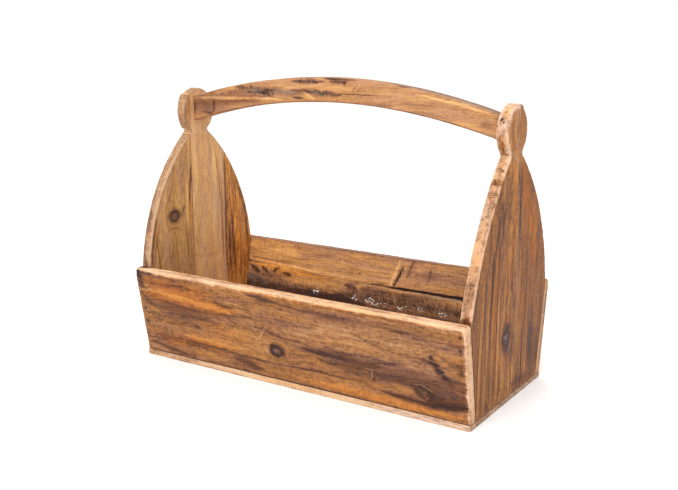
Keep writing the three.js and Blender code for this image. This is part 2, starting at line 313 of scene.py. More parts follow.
def board(name, rows, low, high, columns, thick, place, walls, marks, seed, corner=0, knots=(),
          relief=0.12, layers=9):
    """A worn board. Rows run along its grain from foot to top, low and high are its two edges there,
    and place puts (along, across, through) where the board stands. walls are the wear of the low
    edge, the high edge, the first end and the last end."""
    low, high = np.broadcast_to(low, rows.shape), np.broadcast_to(high, rows.shape)
    along, across = lay_out(rows, low, high, columns, corner)
    flat = np.stack([along.ravel(), across.ravel()], axis=1)
    outline, step, length, walked, outward, wear = walk_round(along, across, walls)
    distance, toward, run, nearest = nearest_edge(flat, outline, step, length, walked, outward)
    blend = sum(np.roll(wear, shift, axis=0) for shift in range(-2, 3)) / 5
    worn_there = blend[nearest]

    # The edge's line wavers, and is chipped here and there
    rng = np.random.default_rng(seed)
    waver = worn_there[:, 3] * (0.5 + 0.5 * unevenness(run, 0 * run, 34 * mm, 1, seed))
    ragged = 1 + 0.14 * unevenness(run, 0 * run, 13 * mm, 1, seed + 1)
    ragged += 0.1 * unevenness(run, 0 * run, 4 * mm, 1, seed + 2)
    most_chips = wear[:, 4].max()
    chip = np.zeros(len(flat))
    for _ in range(int(walked[-1] * most_chips)):
        middle, half, deep = rng.uniform(0, walked[-1]), rng.uniform(1, 4) * mm, rng.uniform(0.2, 1.1) * mm
        chip = np.maximum(chip, deep * (1 - smooth(np.abs(run - middle), 0.4 * half, half)))
    chip *= worn_there[:, 4] / max(most_chips, 1)
    flat = flat - toward * (waver * (1 - smooth(distance, 2 * mm, 12 * mm)))[:, None]

    # The block of points that the outline and the thickness make, and the ones on its surface
    layer_places = spaced(0, thick, thick / (layers - 5), min(2.5 * mm, thick / 4))
    counts = (len(rows), len(columns), len(layer_places))
    index = np.arange(np.prod(counts)).reshape(counts)

    def quads(sheet):
        corners = [sheet[:-1, :-1], sheet[1:, :-1], sheet[1:, 1:], sheet[:-1, 1:]]
        return np.stack(corners, axis=-1).reshape(-1, 4)

    faces = np.concatenate([
        quads(index[:, :, 0])[:, ::-1], quads(index[:, :, -1]),
        quads(index[0])[:, ::-1], quads(index[-1]),
        quads(index[:, 0]), quads(index[:, -1])[:, ::-1],
    ])
    used, faces = np.unique(faces, return_inverse=True)
    i, j, k = np.unravel_index(used, counts)
    over = i * counts[1] + j
    point, toward, from_edge, wear_here = flat[over], toward[over], distance[over], worn_there[over]
    through = layer_places[k]

    # Rounding: the arris between a face and an edge is drawn in to an arc
    inner_side = smooth(through / thick, 0.35, 0.65)
    radius = faded(wear_here[:, 0], wear_here[:, 1], inner_side)
    radius = radius * np.maximum(ragged[over], 0.86) + chip[over]
    radius = np.minimum(radius, np.minimum(0.46 * thick, 0.46 * (high - low)[i]))
    from_face = np.minimum(through, thick - through)
    sink, side = radius - from_edge, radius - from_face
    worn = (sink > 0) & (side > 0)
    reach = np.maximum(np.hypot(sink, side), 1e-9)
    pull = np.where(worn, radius - radius * sink / reach - from_edge, 0)
    lift = np.where(worn, radius - radius * side / reach - from_face, 0)
    face_sign = np.where(through < thick / 2, -1, 1)
    flat_part = from_face < 1e-7
    lean_out = np.where(worn, sink / reach, np.where(flat_part, 0, 1))
    lean_face = np.where(worn, side / reach, np.where(flat_part, 1, 0))
    point = point - toward * pull[:, None]
    through = through - face_sign * lift

    # Marks: stains, painted shade, bright patches, painted highlights, splits and dents on one surface
    # each, and knots right through
    by_edge = np.stack([point[:, 0], through], axis=1)
    by_end = np.stack([point[:, 1], through], axis=1)
    surfaces = {
        "outer": (k == 0, point), "inner": (k == counts[2] - 1, point),
        "low": (j == 0, by_edge), "high": (j == counts[1] - 1, by_edge),
        "foot": (i == 0, by_end), "top": (i == counts[0] - 1, by_end),
    }
    stray = unevenness(point[:, 0], point[:, 1], 9 * mm, 4 * mm, seed + 8)
    stray += 0.6 * unevenness(point[:, 0], point[:, 1], 3.5 * mm, 2.2 * mm, seed + 9)
    painted, line = paint_marks(marks, surfaces, stray)
    knot = np.full(len(point), 9.0)
    warp = np.zeros(len(point))
    for x, y, half_along, half_across in knots:
        da, db = (point[:, 0] / mm - x) / half_along, (point[:, 1] / mm - y) / half_across
        knot = np.minimum(knot, np.hypot(da, db))
        swirl = np.hypot(da / 1.5, db)
        warp += db * half_across * mm / np.maximum(swirl, 1) ** 2

    # Relief: brushed grain and hand-worn unevenness, cut inwards only, on what shows
    rubbed = wear_here[:, 2]
    shows = np.clip(rubbed, 0, 1) + (1 - smooth(from_face, 0, 0.2 * mm))
    grain_relief = unevenness(point[:, 0], point[:, 1] - warp, 40 * mm, 2.6 * mm, seed + 3)
    hills = unevenness(point[:, 0], point[:, 1], 45 * mm, 22 * mm, seed + 4)
    cross = unevenness(point[:, 0], through, 3.1 * mm, 30 * mm, seed + 5)
    on_wall = from_face > 0.2 * mm
    depth = relief * mm * (1.1 + 0.6 * grain_relief + 0.9 * hills + 0.8 * cross * on_wall)
    depth = np.maximum(depth, 0) * np.clip(shows, 0, 1) + painted["dent"] * mm
    depth += 0.35 * mm * np.exp(-((knot - 1) / 0.12) ** 2)
    point = point - toward * (depth * lean_out)[:, None]
    through = through - face_sign * depth * lean_face

    # Pale where the arrises are rubbed, with a painted highlight along the middle of each rounded one, and
    # dark in the seams
    spread = np.maximum(radius, 1 * mm)
    # the crest term brightens the middle of a rounded arris: a painted highlight on top of the rubbed wear
    highlight_crest = np.where(worn, 2 * lean_out * lean_face, 0)
    rubbed_and_highlit = rubbed * (1 - smooth(from_edge, 0.2 * spread, 1.9 * spread)) * (0.84 + 0.22 * highlight_crest)
    # a darker line along seams and joints that are not rubbed
    seam_darkening = (rubbed < 0.1) * np.exp(-(from_edge / (0.7 * mm)) ** 2)
    values = {kind: amount for kind, amount in painted.items() if kind != "dent"}
    values.update(knot=knot, pale=rubbed_and_highlit + painted["pale"], dark=painted["dark"] + 0.55 * seam_darkening,
                  split=line["split"] / mm, scratch=line["scratch"] / mm)

    wander = 2.5 * mm * unevenness(point[:, 0], point[:, 1], 120 * mm, 30 * mm, seed + 6)
    lines = np.stack([point[:, 0], point[:, 1] - warp + wander, through], axis=1)
    spots = np.stack(place(point[:, 0], point[:, 1], through), axis=1)
    return build_mesh(name, spots, faces.reshape(-1, 4), lines, values)


def add_node(tree, kind, feeds, output=0, **settings):
    """Adds a node, and feeds its inputs with values or with what comes out of other nodes."""
    made = tree.nodes.new(kind)
    for setting, value in settings.items():
        setattr(made, setting, value)
    for socket, feed in feeds.items():
        if isinstance(feed, bpy.types.NodeSocket):
            tree.links.new(feed, made.inputs[socket])
        else:
            made.inputs[socket].default_value = feed
    return made.outputs[output] if made.outputs else None


class Recipe:
    """Builds a material. Each call adds one node and gives what comes out of it."""

    def __init__(self, name):
        self.material = bpy.data.materials.new(name)
        self.material.use_nodes = True
        self.tree = self.material.node_tree
        self.tree.nodes.clear()

    def node(self, kind, feeds, output=0, **settings):
        return add_node(self.tree, "ShaderNode" + kind, feeds, output, **settings)

    def painted(self, attribute):
        return self.node("Attribute", {}, "Fac", attribute_name=attribute)

    def math(self, operation, a, b=0.0):
        return self.node("Math", {0: a, 1: b}, operation=operation)

    def add(self, *terms):
        total = terms[0]
        for term in terms[1:]:
            total = self.math("ADD", total, term)
        return total

    def times(self, a, b):
        return self.math("MULTIPLY", a, b)

    def swing(self, noise, amount):
        """Noise from 0 to 1, turned into a swing either side of nothing."""
        return self.node("Math", {0: noise, 1: amount, 2: -amount / 2}, operation="MULTIPLY_ADD")

    def ease(self, value, low, high, to_low=0.0, to_high=1.0):
        feeds = {"Value": value, "From Min": low, "From Max": high, "To Min": to_low, "To Max": to_high}
        return self.node("MapRange", feeds, interpolation_type="SMOOTHSTEP")

    def noise(self, vector, stretch, seed, detail=3.0, rough=0.55):
        shift = (seed, seed * 1.7, seed * 0.6)
        placed = self.node("VectorMath", {0: vector, 1: stretch, 2: shift}, operation="MULTIPLY_ADD")
        return self.node("TexNoise", {"Vector": placed, "Scale": 1.0, "Detail": detail, "Roughness": rough})

    def mix(self, share, a, b, blend="MIX"):
        return self.node(
            "Mix", {0: share, 6: a, 7: b}, 2, data_type="RGBA", blend_type=blend, clamp_factor=True)

    def ramp(self, value, stops):
        made = self.tree.nodes.new("ShaderNodeValToRGB")
        elements = made.color_ramp.elements
        while len(elements) < len(stops):
            elements.new(0.5)
        for element, (spot, colour) in zip(elements, stops):
            element.position = spot
            element.color = colour
        self.tree.links.new(value, made.inputs[0])
        return made.outputs[0]


def wood_finish(name, tint, seed, contrast=1.0, bands=1.0, ring_gap=5.0, pith=(0, 45), saw=0.0,
                mellow=0.0, gold=0.0, rubbed_tint=(1, 1, 1), stain_and_shade=(0.36, 0.3, 0.34), bitty=1.0,
                patchy=0.13, speckle=1.0):
    """Reclaimed softwood, brushed and waxed. The tint is what age and wax have made of its colour,
    raised as painted light on the boards inside the box, and the pith is where the tree's middle lay
    beside the board, in mm."""
    wood = Recipe(name)

    def tinted(colour, by=tint):
        return (*[part * share for part, share in zip(colour, by)], 1)

    grain = wood.node("Attribute", {}, "Vector", attribute_name="grain")
    dark, light, pale, warm = [wood.painted(kind) for kind in ("dark", "light", "pale", "warm")]
    knot, ash, hatch, fleck = [wood.painted(kind) for kind in ("knot", "ash", "hatch", "fleck")]
    split, split_on = wood.painted("split"), wood.painted("split_on")
    scratch, scratch_on = wood.painted("scratch"), wood.painted("scratch_on")

    # Grain that wanders along the board, from wide bands down to single fibres
    drift = wood.noise(grain, (7, 26, 26), seed + 3, 2)
    bend = wood.node("CombineXYZ", {"Y": wood.swing(drift, 0.012)})
    flow = wood.node("VectorMath", {0: grain, 1: bend}, operation="ADD")
    wide = wood.noise(flow, (8, 62, 62), seed, 2)
    streak = wood.noise(flow, (20, 190, 190), seed + 11, 3, 0.6)
    fine = wood.noise(flow, (38, 420, 420), seed + 17, 2, 0.6)
    fibre = wood.noise(flow, (70, 760, 760), seed + 23, 2)
    mottle = wood.noise(flow, (55, 150, 150), seed + 29, 3, 0.65)
    patch = wood.noise(flow, (17, 34, 34), seed + 31, 3)
    grit = wood.noise(flow, (150, 360, 360), seed + 37, 3, 0.7)
    scales = wood.noise(flow, (250, 200, 200), seed + 39, 3, 0.7)
    strokes = wood.noise(flow, (560, 44, 60), seed + 41, 3, 0.6)

    # Growth rings, cut through by the board's face
    tree_middle = (0, pith[0] * mm, -pith[1] * mm)
    centre = wood.node("VectorMath", {0: flow, 1: tree_middle}, operation="SUBTRACT")
    apart = wood.node("SeparateXYZ", {0: centre}, "Y")
    deep = wood.node("SeparateXYZ", {0: centre}, "Z")
    radius = wood.math("SQRT", wood.add(wood.times(apart, apart), wood.times(deep, deep)))
    growth = wood.add(wood.times(radius, 1000 / ring_gap), wood.swing(wide, 2.2), wood.swing(patch, 0.9))
    ring = wood.ease(wood.math("FRACT", growth), 0.5, 1.0)
    ring_edge = wood.math("SUBTRACT", ring, wood.ease(wood.math("FRACT", growth), 0.97, 1.0))

    # How light the wood is, and whether it is of the redder or the more golden sort
    tone = wood.add(
        wood.swing(wide, 0.9 * contrast * bands), wood.swing(streak, 0.75 * contrast * bands),
        wood.swing(fine, 0.85 * contrast), wood.swing(fibre, 0.8 * contrast),
        wood.swing(mottle, 0.6 * contrast), wood.swing(grit, 0.9 * contrast * speckle),
        wood.swing(scales, 0.8 * contrast * speckle), wood.times(ring_edge, -0.14 * contrast),
        wood.times(light, 0.36), wood.times(dark, -0.3), 0.52 + mellow,
    )
    hue = wood.ease(wood.add(wood.noise(flow, (9, 85, 85), seed + 53, 3), wood.times(light, 0.3),
                             wood.times(dark, -0.2), gold), 0.47 - patchy, 0.47 + patchy)
    deepest = tinted((0.1, 0.037, 0.02))
    red_wood = wood.ramp(tone, [
        (0.0, deepest), (0.27, tinted((0.22, 0.093, 0.046))), (0.5, tinted((0.36, 0.158, 0.071))),
        (0.74, tinted((0.48, 0.232, 0.108))), (1.0, tinted((0.62, 0.34, 0.175))),
    ])
    gold_wood = wood.ramp(tone, [
        (0.0, tinted((0.11, 0.042, 0.014))), (0.27, tinted((0.26, 0.106, 0.034))),
        (0.5, tinted((0.41, 0.175, 0.054))), (0.74, tinted((0.56, 0.26, 0.082))),
        (1.0, tinted((0.72, 0.385, 0.145))),
    ])
    colour = wood.mix(hue, red_wood, gold_wood)

    # Saw strokes and planer marks across the grain, and open pores along it
    sawn = wood.ease(patch, 0.4, 0.62, 0.1 * saw, 0.4 * saw)
    teeth = wood.times(wood.ease(strokes, 0.42, 0.66), sawn)
    colour = wood.mix(teeth, colour, deepest)
    leaning = wood.node("CombineXYZ", {"X": wood.times(wood.node("SeparateXYZ", {0: grain}, "Y"), 0.55)})
    aslant = wood.node("VectorMath", {0: grain, 1: leaning}, operation="ADD")
    dashes = wood.noise(aslant, (330, 120, 60), seed + 43, 2, 0.6)
    hatched = wood.ease(wood.add(hatch, wood.swing(mottle, 0.8)), 0.1, 1.2)
    bruised = wood.times(wood.ease(dashes, 0.44, 0.6), hatched)
    colour = wood.mix(wood.times(bruised, 0.9), colour, (0.05, 0.032, 0.028, 1))
    pores = wood.ease(wood.noise(flow, (150, 900, 900), seed + 61, 1), 0.66, 0.74)
    colour = wood.mix(wood.times(pores, 0.45), colour, deepest)

    # Stains soak in along the grain and let it show through, but for the deepest; the same dark marks
    # also carry lines of painted shade
    ragged = wood.add(wood.swing(streak, 0.7), wood.swing(fine, 0.8), wood.swing(mottle, 1.6),
                      wood.swing(grit, 1.8 * bitty), wood.swing(scales, 1.6 * bitty))
    soaked_and_shaded = wood.ease(wood.add(dark, ragged), 0.22, 1.5)
    stained_and_shaded = wood.mix(1.0, colour, (*stain_and_shade, 1), "MULTIPLY")
    colour = wood.mix(wood.times(soaked_and_shaded, 0.92), colour, stained_and_shaded)
    black = wood.ease(wood.add(dark, ragged), 1.25, 1.9)
    colour = wood.mix(wood.times(black, 0.75), colour, (0.035, 0.021, 0.021, 1))
    ashen = wood.ease(wood.add(ash, wood.times(ragged, 0.7)), 0.0, 1.25)
    bleached = wood.times(wood.ease(ash, 0.0, 0.15), ashen)
    colour = wood.mix(wood.times(bleached, 0.5), colour, (0.4, 0.31, 0.23, 1))

    # Bare wood where the arrises are rubbed, and a painted highlight where the pale value carries one
    bared_and_highlit = wood.add(pale, wood.swing(patch, 0.4), wood.swing(mottle, 0.6), wood.swing(grit, 0.4),
                     wood.times(dark, -0.6), wood.times(warm, -0.2))
    rubbed = wood.ease(bared_and_highlit, 0.15, 0.8)
    bare_and_highlight_tone = wood.ease(
        wood.add(patch, wood.swing(streak, 0.9), wood.swing(fine, 0.8), wood.swing(mottle, 0.8),
                 wood.swing(grit, 1.1), wood.swing(strokes, 0.9), wood.times(pale, 0.7), -0.46),
        0.05, 1.05)
    bare_dark, bare_light = (0.42, 0.2, 0.09), (0.88, 0.57, 0.35)
    bare_and_highlit_wood = wood.mix(bare_and_highlight_tone, tinted(bare_dark, rubbed_tint), tinted(bare_light, rubbed_tint))
    colour = wood.mix(wood.times(rubbed, 0.92), colour, bare_and_highlit_wood)

    # Warm patches where the wax is thick, and cooler ones where it is worn off
    waxing = wood.add(warm, wood.times(ragged, 0.6))
    waxed = wood.mix(1.0, colour, (1.1, 0.87, 0.55, 1), "MULTIPLY")
    colour = wood.mix(wood.ease(waxing, 0.05, 1.1), colour, waxed)
    worn_off = wood.mix(1.0, colour, (0.97, 1.05, 1.42, 1), "MULTIPLY")
    colour = wood.mix(wood.ease(waxing, -1.1, -0.05, 1.0, 0.0), colour, worn_off)

    # Knots, with a ragged black ring that is broken in places, and a brown heart
    fray = wood.swing(wood.noise(grain, (130, 130, 130), seed + 71, 4, 0.75), 1.9)
    frayed = wood.add(knot, wood.times(wood.ease(knot, 0.0, 0.8), fray))
    crumbs = wood.swing(wood.noise(grain, (330, 330, 330), seed + 73, 3, 0.7), 2.3)
    halo = wood.ease(frayed, 1.0, 1.7, 1.0, 0.0)
    colour = wood.mix(wood.times(halo, 0.5), colour, deepest)
    core = wood.ease(frayed, 0.94, 1.06, 1.0, 0.0)
    broken = wood.ease(wood.noise(grain, (60, 60, 60), seed + 79, 2), 0.4, 0.5)
    heart = wood.ramp(wood.add(frayed, crumbs), [
        (0.0, (0.26, 0.12, 0.082, 1)), (0.22, (0.21, 0.1, 0.068, 1)), (0.4, (0.085, 0.04, 0.03, 1)),
        (0.56, (0.045, 0.02, 0.015, 1)), (1.0, (0.04, 0.018, 0.014, 1)),
    ])
    heart = wood.mix(broken, wood.mix(0.22, heart, colour), heart)
    colour = wood.mix(core, colour, heart)

    # Splits in the grain, light scratches, and flecks of old whitewash
    jagged = wood.math("ABSOLUTE", wood.add(split, wood.swing(fine, 1.6)))
    cracked = wood.times(wood.ease(jagged, 0.25, 0.65, 1.0, 0.0), wood.ease(split_on, 0.12, 0.4))
    colour = wood.mix(wood.times(cracked, 0.85), colour, (0.03, 0.014, 0.011, 1))
    scored = wood.math("ABSOLUTE", wood.add(scratch, wood.swing(fine, 1.6), wood.swing(grit, 1.2)))
    scraped = wood.times(wood.ease(scored, 0.2, 1.4, 1.0, 0.0),
                         wood.ease(wood.add(scratch_on, wood.swing(mottle, 0.9)), 0.0, 1.1))
    colour = wood.mix(wood.times(scraped, 0.6), colour, (0.56, 0.33, 0.17, 1))
    specks = wood.noise(grain, (260, 360, 360), seed + 83, 2, 0.6)
    whitened = wood.times(wood.ease(specks, 0.53, 0.6), wood.ease(fleck, 0.25, 0.6))
    colour = wood.mix(whitened, colour, (0.78, 0.72, 0.68, 1))

    height = wood.add(
        wood.swing(streak, 0.7), wood.swing(fine, 0.9), wood.swing(fibre, 0.8), wood.times(ring_edge, 0.25),
        wood.times(cracked, -1.2), wood.times(pores, -0.5), wood.times(core, -0.3), whitened,
        wood.times(wood.swing(strokes, 0.5), wood.ease(pale, 0.2, 0.8, 0.3 + saw, 1.2)),
    )
    bump = wood.node("Bump", {"Strength": 0.75, "Distance": 0.5 * mm, "Height": height})
    dullness = wood.add(
        wood.ease(tone, 0.1, 0.9, 0.52, 0.68), wood.times(rubbed, 0.1), wood.swing(fibre, 0.12))
    shader = wood.node("BsdfPrincipled", {
        "Base Color": colour, "Roughness": dullness, "Normal": bump, "Specular IOR Level": 0.16,
    })
    wood.node("OutputMaterial", {"Surface": shader})
    return wood.material


def put(piece, finish, slot, *nodes):
    piece.data.materials.append(finish)
    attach(piece, "root")
    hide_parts(*nodes)


def head_of(nail, outward):
    """Where the middle of a nail's head is, from the frame."""
    corners = np.array([v.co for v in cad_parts[nail].data.vertices])
    reach = corners @ np.array(outward)
    return corners[reach > reach.max() - 0.1 * mm].mean(axis=0)


def set_nails(prefix, outward, surface, to_face):
    """The dents and stains that a row of nails leaves in a face, and where they are."""
    names = [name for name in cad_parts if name.startswith(prefix)]
    spots = [to_face(*head_of(name, outward)) for name in names]
    spots = [(along / mm, across / mm) for along, across in spots]
    marks = [(surface, "dent", [spot], 3.1, 0.95) for spot in spots]
    return marks + [(surface, "dark", [spot], 2.8, 0.9) for spot in spots], spots


def age_and_painted_light_marks(*groups):
    """Marks of age and use on a board, with some lines of painted shade and painted highlight among them,
    by its surface and their kind. A mark's first number is half its width and its second its strength,
    and the points that it follows come after them, in mm."""
    return [(surface, kind, path, half, strength)
            for surface, kind, *strokes in groups for half, strength, *path in strokes]


base_low, base_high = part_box("base_front_board")
rear_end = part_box("base_rear_board")[1].y
base_thick = base_high.z
base_joint = (base_high.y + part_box("base_rear_board")[0].y) / 2
base_worn = wall(1.1, 0.9, 0.9, 0.3, 30)
base_end = wall(1.1, 0.9, 0.75, 0.25, 30)
base_finish = wood_finish(
    "base_wood", tint=(1.0, 1.08, 1.25), seed=3, contrast=0.9, speckle=1.3, ring_gap=4.0, pith=(-40, 30),
    saw=0.5, mellow=0.05, rubbed_tint=(0.74, 0.76, 0.76), stain_and_shade=(0.4, 0.33, 0.3),
)


def base_place(along, across, through):
    return along, across, base_thick - through


base_nail_marks, _ = set_nails("base_nail", (0, 0, -1), "inner", lambda x, y, z: (x, y))
# Short tears that the saw left in both boards' right ends, and along the right of the front edge
torn_ends = [
    ("top", "split", [(y, 2 + 1.9 * (k % 3)), (y + 3.5, 2.6 + 1.5 * (k * 2 % 3))], 0.6, 0.8)
    for k, y in enumerate(range(-106, 106, 7))
]
torn_ends += [
    ("top", "ash", [(y, 5.5 - 1.7 * (k % 3))], 2.2, 0.8) for k, y in enumerate(range(-103, 106, 11))
]
torn_edge = [
    ("low", "split", [(x, 1.8 + 1.9 * (k % 3)), (x + 12, 2.2 + 1.7 * (k % 3))], 0.4, 0.6)
    for k, x in enumerate(range(110, 250, 13))
]
base_front_marks = base_nail_marks + torn_ends + torn_edge + age_and_painted_light_marks(
    # the front edge: uneven saw lines, a painted shadow line at its foot, sun-bleached in the middle and
    # grey by the right corner
    ("low", "dark", (1.2, 0.5, (-215, 6), (-150, 6.5)), (1, 0.5, (-10, 6), (60, 6.5)),
     (1.1, 0.8, (150, 6.5), (249, 5.5)), (1.3, 0.7, (-260, 8), (260, 8)), (1.6, 0.4, (-249, 2), (-160, 3)),
     (0.7, 0.8, (-246, 4.6), (-120, 4.2), (-40, 4.8)), (0.6, 0.7, (-60, 3), (80, 3.6)),
     (0.7, 0.8, (60, 5), (240, 4.4)), (0.8, 0.9, (-230, 7.4), (-90, 7), (60, 7.4)),
     (0.5, 0.7, (40, 2), (140, 1.6), (230, 2)), (0.6, 1, (-260, 0.4), (260, 0.4))),
    ("low", "warm", (4, 0.6, (-60, 3), (60, 4)), (9, -0.6, (130, 4), (290, 4))),
    ("low", "light", (9, 1, (-170, 4), (0, 4), (100, 4))),
    ("low", "pale", (9, 0.5, (-150, 3), (60, 4), (240, 4))),
    ("low", "ash", (1.6, 0.9, (-200, 3), (-60, 2.6), (40, 3)), (3, 1.1, (90, 3), (180, 3), (280, 3))),
    # the right end: grey end grain with dark upper and lower arrises
    ("top", "ash", (8, 0.7, (-140, 4), (10, 4)), (3, 0.4, (-104, 2), (-60, 3))),
    ("top", "dark", (1, 1.6, (-140, 7.8), (10, 7.8)), (1.1, 1.5, (-140, 0.5), (10, 0.5)),
     (1.6, 0.9, (-92, 4), (-84, 5)), (1, 0.5, (-100, 5), (-60, 6))),
    ("top", "warm", (5, 0.4, (-110, 4), (-60, 4))),
)
base_rear_marks = base_nail_marks + torn_ends + age_and_painted_light_marks(
    # the right end, greyer than the front board's
    ("top", "dark", (1, 0.6, (-50, 6.5), (40, 6)), (1.1, 0.5, (50, 3), (104, 4)),
     (1, 1.6, (-90, 7.8), (150, 7.8)), (1.1, 1.5, (-90, 0.5), (150, 0.5)), (1.6, 0.9, (20, 5), (34, 5))),
    ("top", "ash", (8, 0.8, (-90, 4), (130, 4))),
    ("top", "warm", (8, -0.3, (-60, 4), (140, 4))),
)
for name, near, far, near_wall, far_wall, marks, seed in (
    ("base_front_board", base_low.y, base_joint, base_worn, seam, base_front_marks, 11),
    ("base_rear_board", base_joint, rear_end, seam, base_worn, base_rear_marks, 17),
):
    piece = board(
        name + "_looks", spaced(base_low.x, base_high.x, 4 * mm, 2 * mm), near, far,
        spaced(0, far - near, 3 * mm, 1.5 * mm), base_thick, base_place,
        (near_wall, far_wall, base_end, base_end), marks, seed, relief=0.2, layers=10,
    )
    put(piece, base_finish, "base_wood", name)

# Front board
# One full-length board of old pine that leans out 10 degrees, nailed to both end panels. Its rim and
# ends are rubbed pale, and its face has a knot, stains, torn grain and the dents of its nails.
lean_angle = radians(10)
lean = tan(lean_angle)
front_outward = (0, -cos(lean_angle), -sin(lean_angle))
half_base = rear_end
board_low, board_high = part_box("front_board")
rim_height = board_high.z
front_thick = 16 * mm / cos(lean_angle)


def front_place(along, across, through):
    return along, through - half_base - lean * (across - base_thick), across


def near_rim(columns):
    """How near the places across a side board are to its rim: 0 from 12 mm below it, 1 from 5 mm."""
    return smooth(columns[-1] - columns, 12 * mm, 5 * mm)[:, None]


